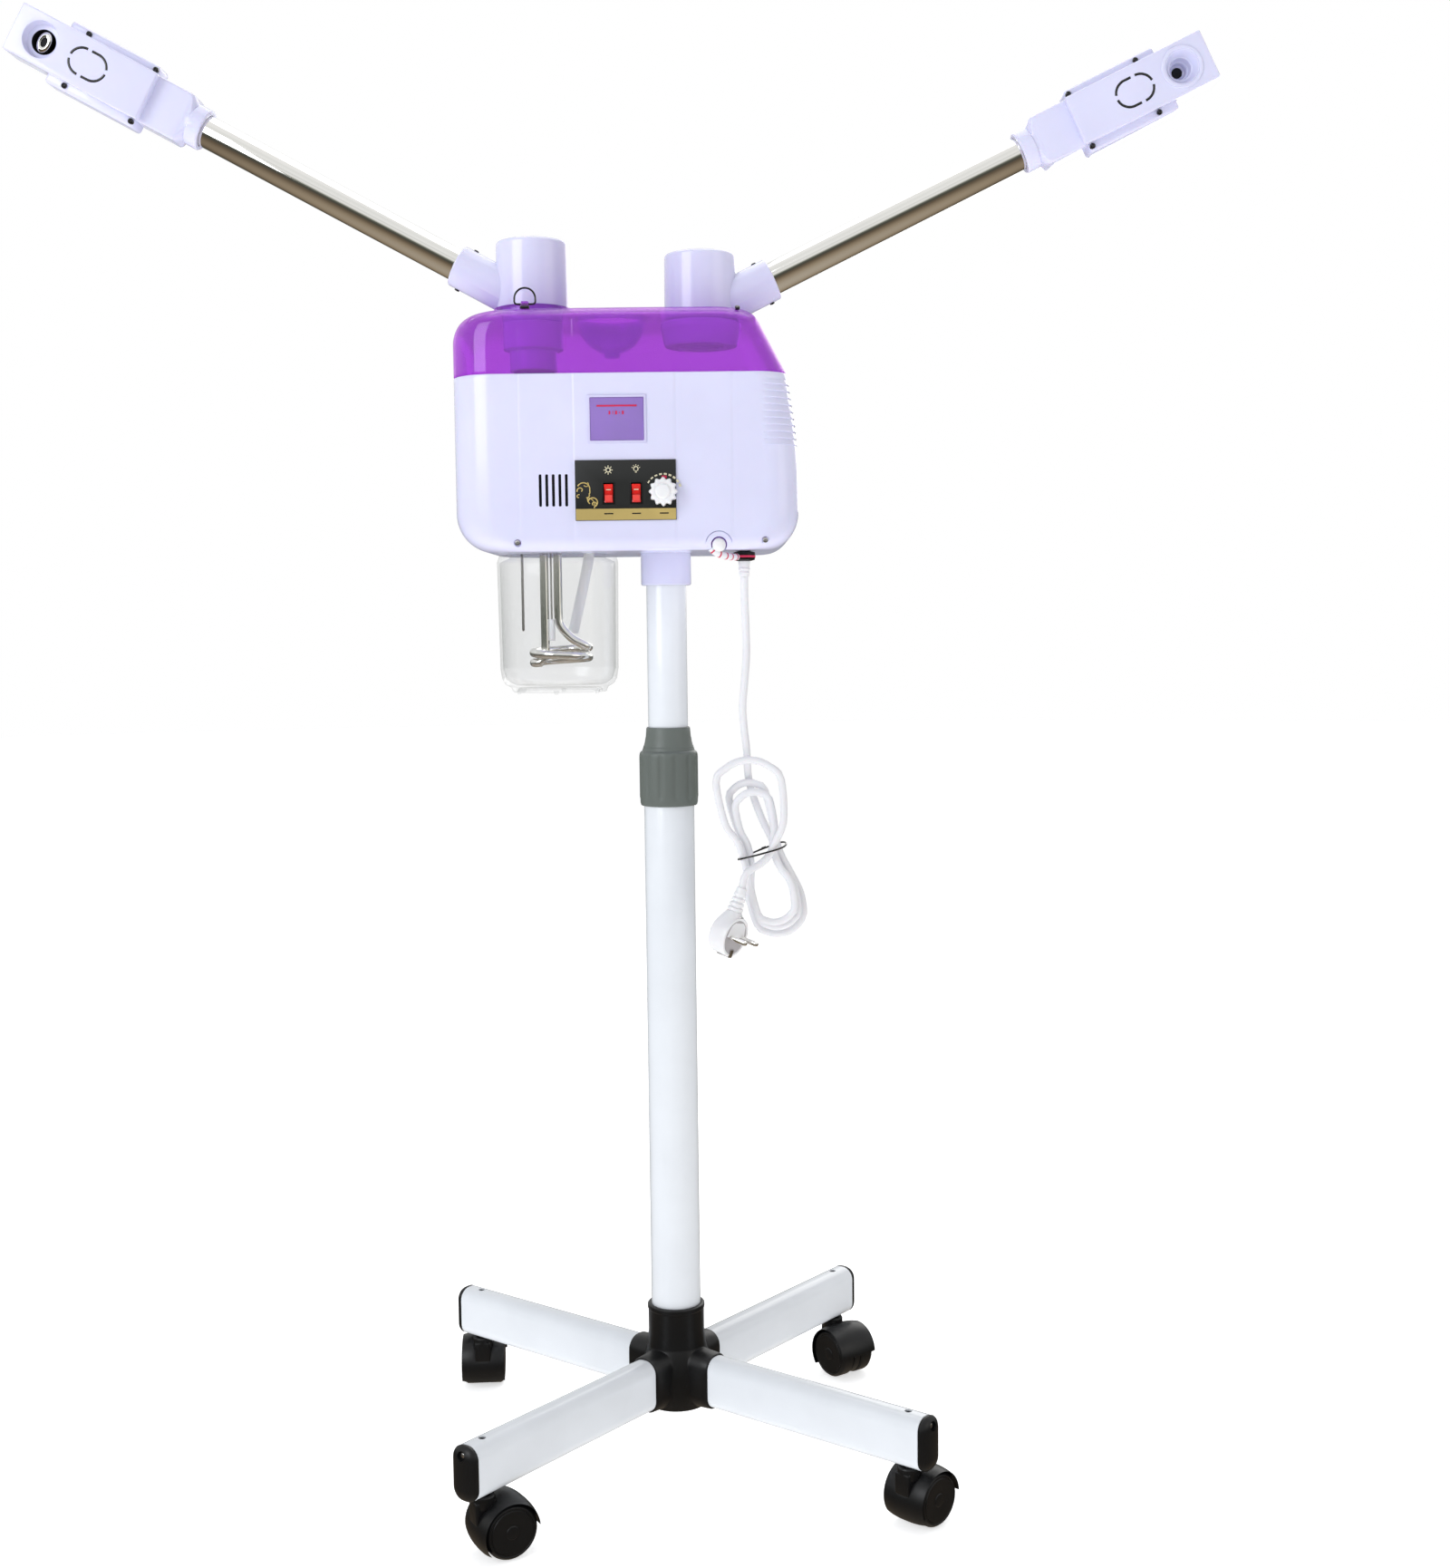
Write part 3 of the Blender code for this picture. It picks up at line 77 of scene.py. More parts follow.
def filleted(points, steps=4):
    """Round the corners of a closed outline; a point's third value is its radius."""
    result = []
    for k, point in enumerate(points):
        here = Vector(point[:2])
        if len(point) < 3:
            result.append(tuple(here))
            continue
        before = Vector(points[k - 1][:2]) - here
        after = Vector(points[(k + 1) % len(points)][:2]) - here
        reach = point[2] / math.tan(before.angle(after) / 2)
        reach = min(reach, before.length * 0.49, after.length * 0.49)
        start, end = here + before.normalized() * reach, here + after.normalized() * reach
        for step in range(steps + 1):
            t = step / steps
            result.append(tuple(start * (1 - t) ** 2 + here * 2 * t * (1 - t) + end * t * t))
    return result


def turned(profile, segments=96, axis="Z", steps=4):
    """Turn a closed (radius, height[, fillet]) outline about the axis; heights run to -Y for axis Y."""
    bm = bmesh.new()
    rings = []
    for radius, height in filleted(profile, steps):
        if radius < 1e-7:
            rings.append([bm.verts.new((0, 0, height))])
            continue
        angles = (math.tau * k / segments for k in range(segments))
        rings.append([bm.verts.new((radius * math.cos(a), radius * math.sin(a), height)) for a in angles])
    for k, low in enumerate(rings):
        high = rings[(k + 1) % len(rings)]
        if len(low) == 1 and len(high) == 1:
            continue
        for j in range(segments):
            n = (j + 1) % segments
            corners = [low[j % len(low)], low[n % len(low)], high[n % len(high)], high[j % len(high)]]
            bm.faces.new(list(dict.fromkeys(corners)))
    if axis != "Z":
        turn = Matrix.Rotation(math.radians(90), 3, {"Y": "X", "X": "Y"}[axis])
        bmesh.ops.rotate(bm, verts=bm.verts, matrix=turn)
    return mesh_of(bm)


def rod(radius, low, high, segments=48, axis="Z", edge=0.0):
    """A round bar between two heights, with its edges rounded if asked."""
    corner = (edge,) if edge else ()
    return turned([(0, low), (radius, low, *corner), (radius, high, *corner), (0, high)], segments, axis, 3)


def post(place, *sizes):
    """A rod that stands at a place."""
    return moved(rod(*sizes), (*place, 0))


def pipe(outer, inner, low, high, segments=96, axis="Z", edge=0.0004):
    """A round tube with softened rims."""
    return turned([(inner, low, edge), (outer, low, edge), (outer, high, edge), (inner, high, edge)],
                  segments, axis, 2)


def lofted(rings, ring_shaped=False):
    """Skin equal point rings; a ring-shaped loft closes on itself, any other is capped."""
    bm = bmesh.new()
    loops = [[bm.verts.new(p) for p in ring] for ring in rings]
    for k in range(len(loops) if ring_shaped else len(loops) - 1):
        low, high = loops[k], loops[(k + 1) % len(loops)]
        for j in range(len(low)):
            n = (j + 1) % len(low)
            bm.faces.new((low[j], low[n], high[n], high[j]))
    if not ring_shaped:
        bm.faces.new(loops[0])
        bm.faces.new(loops[-1])
    return mesh_of(bm)


def rounded_rectangle(low, high, corners, steps=8):
    """Outline of a rectangle, counter-clockwise from its low-low corner, with four corner radii."""
    centres = (
        (low[0] + corners[0], low[1] + corners[0]), (high[0] - corners[1], low[1] + corners[1]),
        (high[0] - corners[2], high[1] - corners[2]), (low[0] + corners[3], high[1] - corners[3]),
    )
    points = []
    for k, (centre, radius) in enumerate(zip(centres, corners)):
        for step in range(steps + 1):
            angle = math.radians(180 + 90 * k + 90 * step / steps)
            points.append((centre[0] + radius * math.cos(angle), centre[1] + radius * math.sin(angle)))
    return points


def oriented(points, offset, plane):
    """Points of a flat outline at an offset, in a plane named by its two axes."""
    order = {"XY": (0, 1, 2), "XZ": (0, 2, 1), "YZ": (2, 0, 1)}[plane]
    return [tuple((u, v, offset)[i] for i in order) for u, v in points]


def extruded(outline, low, high, plane="XY"):
    """Extrude a flat outline between two offsets."""
    return lofted([oriented(outline, offset, plane) for offset in (low, high)])


def block(low, high, radius=0.0, steps=3):
    """A box between two corners with rounded edges."""
    bm = bmesh.new()
    bmesh.ops.create_cube(bm, size=1)
    low, high = Vector(low), Vector(high)
    bmesh.ops.scale(bm, verts=bm.verts, vec=high - low)
    bmesh.ops.translate(bm, verts=bm.verts, vec=(low + high) / 2)
    if radius:
        bmesh.ops.bevel(bm, geom=bm.edges[:], offset=radius, segments=steps, affect="EDGES", profile=0.5)
    return mesh_of(bm)


def front_block(across, up, grow, near, far, *edge):
    """A box over a span of the casing's front, larger all round, between two depths from its face."""
    low = (across[0] - grow, FRONT + near, up[0] - grow)
    high = (across[1] + grow, FRONT + far, up[1] + grow)
    return block(low, high, *edge)


def moved(mesh, offset=(0, 0, 0), turn=None):
    """A mesh turned and then moved in place."""
    matrix = Matrix.Translation(Vector(offset))
    if turn is not None:
        matrix = matrix @ turn.to_4x4()
    mesh.transform(matrix)
    return mesh


def turn_deg(degrees, axis):
    """Rotation matrix from degrees."""
    return Matrix.Rotation(math.radians(degrees), 4, axis)


def carved(mesh, add=(), cut=(), edge=0.0, edge_steps=2):
    """Join solids to a mesh, cut others from it, soften the edges and return the finished mesh."""
    scene = bpy.context.scene
    body = bpy.data.objects.new("work_body", mesh)
    scene.collection.objects.link(body)
    helpers = [body]
    for operation, others in (("UNION", add), ("DIFFERENCE", cut)):
        for other in others:
            helper = bpy.data.objects.new("work_helper", other)
            scene.collection.objects.link(helper)
            helpers.append(helper)
            step = body.modifiers.new("boolean", "BOOLEAN")
            step.operation = operation
            step.solver = "MANIFOLD"
            step.object = helper
    if edge:
        weld = body.modifiers.new("weld", "WELD")
        weld.merge_threshold = 0.00001
        soften = body.modifiers.new("bevel", "BEVEL")
        soften.width = edge
        soften.segments = edge_steps
        soften.limit_method = "ANGLE"
        soften.angle_limit = math.radians(40)
    bpy.context.view_layer.update()
    view = body.evaluated_get(bpy.context.evaluated_depsgraph_get())
    result = bpy.data.meshes.new_from_object(view)
    for helper in helpers:
        bpy.data.objects.remove(helper)
    return shaded(result, CARVED_SHARP_DEG)


def merged(*meshes):
    """Several meshes that don't touch, as one."""
    bm = bmesh.new()
    for mesh in meshes:
        bm.from_mesh(mesh)
    return mesh_of(bm)


def smooth_route(points, spacing):
    """Points about one spacing apart on a Catmull-Rom curve through the given points."""
    route = [Vector(p) for p in points]
    ends = [route[0] * 2 - route[1]] + route + [route[-1] * 2 - route[-2]]
    result = [route[0]]
    for k in range(1, len(ends) - 2):
        a, b, c, d = ends[k - 1:k + 3]
        steps = max(1, round((c - b).length / spacing))
        for step in range(1, steps + 1):
            t = step / steps
            result.append(0.5 * ((2 * b) + (c - a) * t + (2 * a - 5 * b + 4 * c - d) * t ** 2
                                 + (3 * b - a - 3 * c + d) * t ** 3))
    return result


# ---------------------------------------------------------------- pieces and finishes

def piece(name, data, material, body, matrix=None, replaces=()):
    """Show a mesh or curve as a piece that rides on a body, in place of the CAD nodes it stands for."""
    shown = bpy.data.objects.new(name, data)
    bpy.context.scene.collection.objects.link(shown)
    data.materials.clear()
    data.materials.append(material)
    shown.matrix_world = HOME if matrix is None else matrix
    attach(shown, body)
    if replaces:
        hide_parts(*replaces)
    return shown


def wire(points, radius, sides=6, cyclic=False):
    """A round bar that follows a list of points, as a curve with filled ends."""
    curve = bpy.data.curves.new("wire", "CURVE")
    curve.dimensions = "3D"
    curve.bevel_depth = radius
    curve.bevel_resolution = sides
    curve.use_fill_caps = True
    spline = curve.splines.new("POLY")
    spline.points.add(len(points) - 1)
    for point, place_at in zip(spline.points, points):
        point.co = (*place_at, 1)
    spline.use_cyclic_u = cyclic
    spline.use_smooth = True
    return curve


def add_node(nodes, kind, **inputs):
    """A new shader node with some inputs set; their names have _ for a space."""
    made = nodes.new("ShaderNode" + kind)
    for name, value in inputs.items():
        made.inputs[name.replace("_", " ")].default_value = value
    return made


def surface(name, colour, roughness, metallic=0.0, mottle=0.03, spread=0.08, grain=0.0, grain_scale=900.0,
            coat=0.0, transmission=0.0, ior=1.46, subsurface=0.0, specular=0.5):
    """A finish: colour and gloss vary a little over the surface, and grain is its moulded or cast texture."""
    material = bpy.data.materials.new(name)
    material.use_nodes = True
    nodes, links = material.node_tree.nodes, material.node_tree.links
    shader = nodes["Principled BSDF"].inputs
    place = add_node(nodes, "TexCoord").outputs["Object"]
    cloud = add_node(nodes, "TexNoise", Scale=14.0, Detail=5.0)
    links.new(place, cloud.inputs["Vector"])
    tint = add_node(nodes, "ValToRGB")
    for stop, position, change in zip(tint.color_ramp.elements, (0.3, 0.7), (1 - mottle, 1 + mottle)):
        stop.position = position
        stop.color = (*[min(1, c * change) for c in colour], 1)
    links.new(cloud.outputs["Fac"], tint.inputs["Fac"])
    links.new(tint.outputs["Color"], shader["Base Color"])
    gloss = add_node(nodes, "MapRange", To_Min=roughness * (1 - spread), To_Max=roughness * (1 + spread))
    links.new(cloud.outputs["Fac"], gloss.inputs["Value"])
    links.new(gloss.outputs["Result"], shader["Roughness"])
    for socket, value in (("Metallic", metallic), ("IOR", ior), ("Specular IOR Level", specular),
                          ("Transmission Weight", transmission), ("Coat Weight", coat),
                          ("Coat Roughness", 0.06)):
        shader[socket].default_value = value
    if subsurface:
        shader["Subsurface Weight"].default_value = subsurface
        shader["Subsurface Scale"].default_value = 0.004
    if grain:
        grit = add_node(nodes, "TexNoise", Scale=grain_scale, Detail=3.0)
        links.new(place, grit.inputs["Vector"])
        bump = add_node(nodes, "Bump", Strength=grain, Distance=0.0002)
        links.new(grit.outputs["Fac"], bump.inputs["Height"])
        links.new(bump.outputs["Normal"], shader["Normal"])
    return material


def thinned(material, clear, edge_clear, tint):
    """Let light through a finish, more where it is seen face on, and polish it, more towards its outline."""
    nodes, links = material.node_tree.nodes, material.node_tree.links
    facing = add_node(nodes, "LayerWeight", Blend=0.5).outputs["Facing"]
    share = add_node(nodes, "MapRange", From_Min=0.35, From_Max=0.97, To_Min=1 - clear, To_Max=1 - edge_clear)
    rim = add_node(nodes, "MapRange", From_Min=0.3, To_Min=0.03, To_Max=0.12)
    shown = add_node(nodes, "BsdfTransparent", Color=(*tint, 1)).outputs["BSDF"]
    shine = add_node(nodes, "BsdfGlossy", Roughness=0.04)
    for amount, over in ((share, nodes["Principled BSDF"]), (rim, shine)):
        links.new(facing, amount.inputs["Value"])
        mix = add_node(nodes, "MixShader")
        links.new(amount.outputs["Result"], mix.inputs["Fac"])
        links.new(shown, mix.inputs[1])
        links.new(over.outputs["BSDF"], mix.inputs[2])
        shown = mix.outputs["Shader"]
    links.new(shown, nodes["Material Output"].inputs["Surface"])
    return material


LILAC = surface("lilac_plastic_finish", (0.735, 0.735, 0.955), 0.2, grain=0.05, grain_scale=420, coat=0.35,
                subsurface=0.06)
# Matte lilac for the window's rim, darker than the casing: the matte grain is real, the darker tone is
# painted shade on the opening's inner edge.
LILAC_SHADED = surface("lilac_shaded_finish", (0.66, 0.64, 0.88), 0.35, grain=0.06, grain_scale=420)
WHITE_PAINT = surface("white_paint_finish", (0.83, 0.86, 0.9), 0.22, grain=0.1, grain_scale=260, coat=0.3)
WHITE = surface("white_plastic_finish", (0.86, 0.86, 0.88), 0.28, grain=0.05, coat=0.2, subsurface=0.05)
CORD_WHITE = surface("cord_sheath_finish", (0.84, 0.84, 0.87), 0.38, grain=0.1, grain_scale=1400,
                     subsurface=0.05)
BLACK = surface("black_plastic_finish", (0.006, 0.006, 0.0065), 0.36, mottle=0.12, grain=0.25,
                grain_scale=1100,
                specular=0.35)
BLACK_GLOSS = surface("black_gloss_finish", (0.008, 0.008, 0.009), 0.16, mottle=0.1, coat=0.4)
# Near-black finish of painted shade, put in openings and behind vents where only shade is seen.
PAINTED_SHADE = surface("painted_shade_finish", (0.004, 0.004, 0.006), 0.75, mottle=0.2)
GREY = surface("grey_grip_finish", (0.135, 0.155, 0.142), 0.42, mottle=0.07, grain=0.3, grain_scale=800)
PURPLE = thinned(surface("purple_acrylic_finish", (0.72, 0.22, 0.95), 0.06, mottle=0.03, transmission=0.3,
                         ior=1.16,
                         coat=0.6), 0.8, 0.52, (0.8, 0.42, 0.93))
PURPLE_PANE = surface("purple_pane_finish", (0.55, 0.38, 0.88), 0.07, mottle=0.04, transmission=0.55, ior=1.3)
GLASS = thinned(surface("jar_glass_finish", (0.9, 0.92, 0.93), 0.03, mottle=0.004, transmission=0.55,
                        ior=1.2),
                0.97, 0.86, (0.972, 0.974, 0.975))
CLEAR = surface("tank_plastic_finish", (0.92, 0.92, 0.97), 0.12, mottle=0.02, transmission=0.8, ior=1.25)
CHROME = surface("chrome_finish", (0.86, 0.85, 0.82), 0.07, metallic=1.0, mottle=0.015, spread=0.3)
STEEL = surface("steel_finish", (0.56, 0.55, 0.54), 0.28, metallic=1.0, mottle=0.06, grain=0.12,
                grain_scale=1500)
NYLON = surface("nylon_finish", (0.7, 0.69, 0.64), 0.5, mottle=0.05, grain=0.15, subsurface=0.1)
GOLD = surface("gold_print_finish", (0.72, 0.55, 0.2), 0.34, metallic=0.55, mottle=0.12, grain=0.2)
RED = surface("red_rocker_finish", (0.78, 0.015, 0.012), 0.16, mottle=0.1, coat=0.5, subsurface=0.1)
RED_PRINT = surface("red_print_finish", (0.62, 0.02, 0.08), 0.4, mottle=0.05)
CREAM = surface("cream_print_finish", (0.8, 0.74, 0.52), 0.4, mottle=0.05)
PLUG_GREY = surface("plug_face_finish", (0.42, 0.4, 0.41), 0.5, grain=0.1)
PANEL_BLACK = surface("panel_film_finish", (0.013, 0.014, 0.014), 0.3, mottle=0.1, grain=0.15)
PURPLE_GREY = surface("float_finish", (0.24, 0.2, 0.42), 0.4)
RED_PALE = surface("rocker_lamp_finish", (0.88, 0.07, 0.06), 0.2, mottle=0.1, coat=0.5)


# ---------------------------------------------------------------- camera, lights and floor

CAMERA_LENS = 44.4
CAMERA_FROM_MAST = (0.0539, -1.8535, 0.8181)
CAMERA_DROP_DEG = 4.804
CAMERA_ROLL_DEG = -0.656
LIGHTS_AIM = Vector((0, 0, 0.8))
LIGHTS = (
    ("key_light", (-2.6, -2.7, 2.3), 2.2, 62.0, (0.93, 0.96, 1.0)),
    ("fill_light", (2.9, -1.6, 1.5), 1.8, 9.0, (1.0, 0.94, 0.86)),
    ("top_light", (0.2, 0.6, 3.2), 2.4, 26.0, (1.0, 1.0, 1.0)),
    ("back_light", (1.2, 2.8, 2.0), 2.0, 20.0, (1.0, 0.99, 0.97)),
)
ROOM_COLOURS = (
    (0.0, (0.5, 0.44, 0.36)), (0.16, (0.34, 0.27, 0.19)), (0.3, (0.16, 0.12, 0.08)),
    (0.42, (0.07, 0.068, 0.056)), (0.5, (0.15, 0.16, 0.13)), (0.545, (0.62, 0.62, 0.58)),
    (0.6, (0.97, 0.97, 0.97)), (0.68, (0.8, 0.81, 0.8)), (0.73, (0.98, 0.98, 0.98)),
    (0.86, (0.9, 0.91, 0.9)), (0.92, (1.0, 1.0, 1.0)),
)
FLOOR_RADIUS = 14.0


def make_camera():
    """Camera in front of the machine, tilted a little down and to one side."""
    lens = bpy.data.cameras.new("camera")
    lens.lens = CAMERA_LENS
    lens.sensor_width = 36.0
    lens.clip_start = 0.05
    camera = bpy.data.objects.new("camera", lens)
    bpy.context.scene.collection.objects.link(camera)
    place = Vector((HOME.translation.x, 0, 0)) + Vector(CAMERA_FROM_MAST)
    camera.matrix_world = (Matrix.Translation(place) @ turn_deg(90 - CAMERA_DROP_DEG, "X")
                           @ turn_deg(CAMERA_ROLL_DEG, "Z"))
    bpy.context.scene.camera = camera


def make_world():
    """White behind everything, soft light on it, and a room of bands by height for glossy reflections."""
    world = bpy.data.worlds.new("studio")
    bpy.context.scene.world = world
    world.use_nodes = True
    nodes, links = world.node_tree.nodes, world.node_tree.links
    backdrop = nodes["Background"]
    backdrop.inputs["Color"].default_value = (1, 1, 1, 1)
    backdrop.inputs["Strength"].default_value = 1.0
    room = add_node(nodes, "Background", Strength=0.92)
    plain = add_node(nodes, "Background", Color=(0.97, 0.98, 1.0, 1), Strength=0.38)
    direction = add_node(nodes, "TexCoord")
    split = add_node(nodes, "SeparateXYZ")
    links.new(direction.outputs["Generated"], split.inputs["Vector"])
    height = add_node(nodes, "MapRange", From_Min=-1.0, From_Max=1.0)
    links.new(split.outputs["Z"], height.inputs["Value"])
    ramp = add_node(nodes, "ValToRGB")
    while len(ramp.color_ramp.elements) < len(ROOM_COLOURS):
        ramp.color_ramp.elements.new(0.5)
    for element, (position, colour) in zip(ramp.color_ramp.elements, ROOM_COLOURS):
        element.position = position
        element.color = (*colour, 1)
    links.new(height.outputs["Result"], ramp.inputs["Fac"])
    links.new(ramp.outputs["Color"], room.inputs["Color"])
    kind = add_node(nodes, "LightPath")
    shown = plain.outputs["Background"]
    for ray_kind, background in (("Is Glossy Ray", room), ("Is Camera Ray", backdrop)):
        choose = add_node(nodes, "MixShader")
        links.new(kind.outputs[ray_kind], choose.inputs["Fac"])
        links.new(shown, choose.inputs[1])
        links.new(background.outputs["Background"], choose.inputs[2])
        shown = choose.outputs["Shader"]
    links.new(shown, nodes["World Output"].inputs["Surface"])


def make_stage():
    """Camera, soft studio light and a pale floor."""
    scene = bpy.context.scene
    scene.view_settings.view_transform = "Standard"
    make_camera()
    make_world()
    for name, where, size, power, colour in LIGHTS:
        light = bpy.data.lights.new(name, "AREA")
        light.size = size
        light.energy = power
        light.color = colour
        lamp = bpy.data.objects.new(name, light)
        scene.collection.objects.link(lamp)
        aim = LIGHTS_AIM - Vector(where)
        lamp.matrix_world = Matrix.Translation(where) @ aim.to_track_quat("-Z", "Y").to_matrix().to_4x4()
    floor = bpy.data.objects.new("floor", rod(FLOOR_RADIUS, -0.02, -0.0005, 96))
    scene.collection.objects.link(floor)
    paper = surface("floor_finish", (0.92, 0.92, 0.92), 0.7, mottle=0.004)
    glow = paper.node_tree.nodes["Principled BSDF"].inputs
    glow["Emission Color"].default_value = (1, 1, 1, 1)
    glow["Emission Strength"].default_value = 0.62
    floor.data.materials.append(paper)
    floor.visible_glossy = False


make_stage()


def fine(node, data, material, body, matrix=None):
    """A piece that stands for one CAD node, in its finish's slot."""
    return piece(node + "_fine", data, material, body, matrix, (node,))


def detail(name, data, material, body, matrix=None):
    """A small piece that the CAD model leaves out."""
    return piece(name, data, material, body, matrix)


def at(x, y, z, *turns):
    """Placement at a point given from the mast's axis, with turns applied from the left."""
    matrix = HOME @ Matrix.Translation((x, y, z))
    for degrees, axis in turns:
        matrix = matrix @ turn_deg(degrees, axis)
    return matrix


# ---------------------------------------------------------------- mains cord

CORD_RADIUS = 0.0035
GLAND_X, GLAND_Y = 0.074, -0.055
CORD_ROUTE = (
    (0.074, -0.055, 0.8287), (0.0741, -0.055, 0.81), (0.0748, -0.0552, 0.785), (0.0752, -0.0554, 0.76),
    (0.0735, -0.0555, 0.735), (0.0712, -0.0555, 0.71), (0.0722, -0.0552, 0.69), (0.0745, -0.054, 0.6685),
)
WAIST = Vector((0.088, 0, 0.5735))
HANK_LEAN_DEG = -13.0
HANK_BACK = -0.0435
HANK_PITCH = 0.0072
PLUG_TAIL = Vector((0.0685, -0.0785, 0.542))
PLUG_LEAN_DEG = 18.0
PLUG_TURN_DEG = -35.0
HANK_LOOPS = (
    ((0.0035, 0.066), (0.006, 0.034), (0.0125, 0.004), (0.021, -0.026), (0.0258, -0.048)),
    (0.0015, -0.0565, 0.025, 0, -180),
    ((-0.0225, -0.033), (-0.0165, -0.01), (-0.015, 0.01), (-0.018, 0.03)),
    (-0.0015, 0.047, 0.019, 180, 0),
    ((0.016, 0.026), (0.015, 0.005), (0.0185, -0.02), (0.0215, -0.038)),
    (0.0015, -0.0525, 0.0208, 0, -180),
    ((-0.0185, -0.033), (-0.013, -0.01), (-0.012, 0.008), (-0.0155, 0.024)),
    (0.0015, 0.0385, 0.0182, 180, 0),
    ((0.0165, 0.02), (0.0105, 0.002), (0.0125, -0.017), (0.019, -0.034)),
    (0.0, -0.0478, 0.0196, 0, -180),
    ((-0.0195, -0.03), (-0.018, -0.008), (-0.0205, 0.015), (-0.0275, 0.034)),
    (0.0005, 0.0545, 0.0333, 170, -12),
    ((0.0265, 0.026), (0.015, 0.008), (0.001, -0.007)),
)


def hank_route():
    """Points of the tied loops, wound from the back to the front."""
    flat = []
    for part in HANK_LOOPS:
        if isinstance(part[0], tuple):
            flat += part
            continue
        across, along, radius, start, stop = part
        steps = max(5, round(abs(stop - start) / 26))
        for k in range(1, steps):
            angle = math.radians(start + (stop - start) * k / steps)
            flat.append((across + radius * math.cos(angle), along + radius * math.sin(angle)))
    lean = turn_deg(HANK_LEAN_DEG, "Y")
    walked, points = 0.0, []
    lengths = [0.0] + [math.dist(flat[k], flat[k + 1]) for k in range(len(flat) - 1)]
    total = sum(lengths)
    for (across, along), length in zip(flat, lengths):
        walked += length
        depth = HANK_BACK - HANK_PITCH * 3.4 * walked / total
        point = WAIST + lean @ Vector((across, 0, along))
        points.append((point.x, depth, point.z))
    return points


def make_cord():
    """Gland, cord hanging to its tied hank, twist tie and plug."""
    gland = turned([
        (0, 0.8436), (0.0064, 0.8436, 0.0004), (0.0098, 0.8446, 0.0006), (0.0102, 0.8465),
        (0.0102, 0.8515, 0.0005), (0.0058, 0.8526), (0.0058, 0.862), (0, 0.862)], 72)
    relief_sleeve = turned([
        (0, 0.829), (0.0042, 0.829, 0.0006), (0.0046, 0.832), (0.0051, 0.8326, 0.0003),
        (0.0043, 0.8342, 0.0003), (0.005, 0.8356), (0.0055, 0.8362, 0.0003), (0.0047, 0.8378, 0.0003),
        (0.0058, 0.8433), (0, 0.8433)],
                           64)
    sleeve_piece = detail("gland_relief_sleeve", relief_sleeve, CORD_WHITE, "head", at(GLAND_X, GLAND_Y, 0))
    gland_piece = fine("cord_gland", gland, BLACK, "head", at(GLAND_X, GLAND_Y, 0))
    collar = detail("gland_red_ring", pipe(0.0105, 0.0101, 0.8466, 0.8486, 72), RED_PRINT, "head",
                    at(GLAND_X, GLAND_Y, 0))
    lean = turn_deg(PLUG_LEAN_DEG, "Y")
    arrival = [tuple(PLUG_TAIL + lean @ Vector((0, 0.003, 0.014))), tuple(PLUG_TAIL + Vector((0, 0.0003, 0)))]
    route = smooth_route(list(CORD_ROUTE) + hank_route() + arrival, 0.0045)
    cord = piece("mains_cord", wire(route, CORD_RADIUS, 8), CORD_WHITE, "head", None,
                 ("cord_lead", "cord_hank"))

    ring = []
    for k in range(48):
        angle = math.tau * k / 48
        across, depth = math.cos(angle), math.sin(angle)
        flat = Vector((0.0235 * math.copysign(abs(across) ** 0.75, across), 0,
                       0.001 * math.sin(2 * angle)))
        point = WAIST + turn_deg(HANK_LEAN_DEG - 5, "Y") @ flat
        ring.append((point.x, -0.0565 + 0.0178 * math.copysign(abs(depth) ** 0.75, depth), point.z))
    tie = detail("twist_tie", wire(ring, 0.0009, 4, True), BLACK_GLOSS, "head")
    ends = []
    for k in range(13):
        angle = k * 1.1
        ends.append(WAIST + Vector((-0.004 + 0.001 * k / 2 + 0.0007 * math.cos(angle),
                                    -0.0752 + 0.0007 * math.sin(angle), 0.003 + 0.0003 * k)))
    twist = detail("twist_tie_ends", wire(ends, 0.0007, 4), BLACK_GLOSS, "head")
    plug_pieces = make_plug(HOME @ Matrix.Translation(PLUG_TAIL) @ lean @ turn_deg(PLUG_TURN_DEG, "Z"))


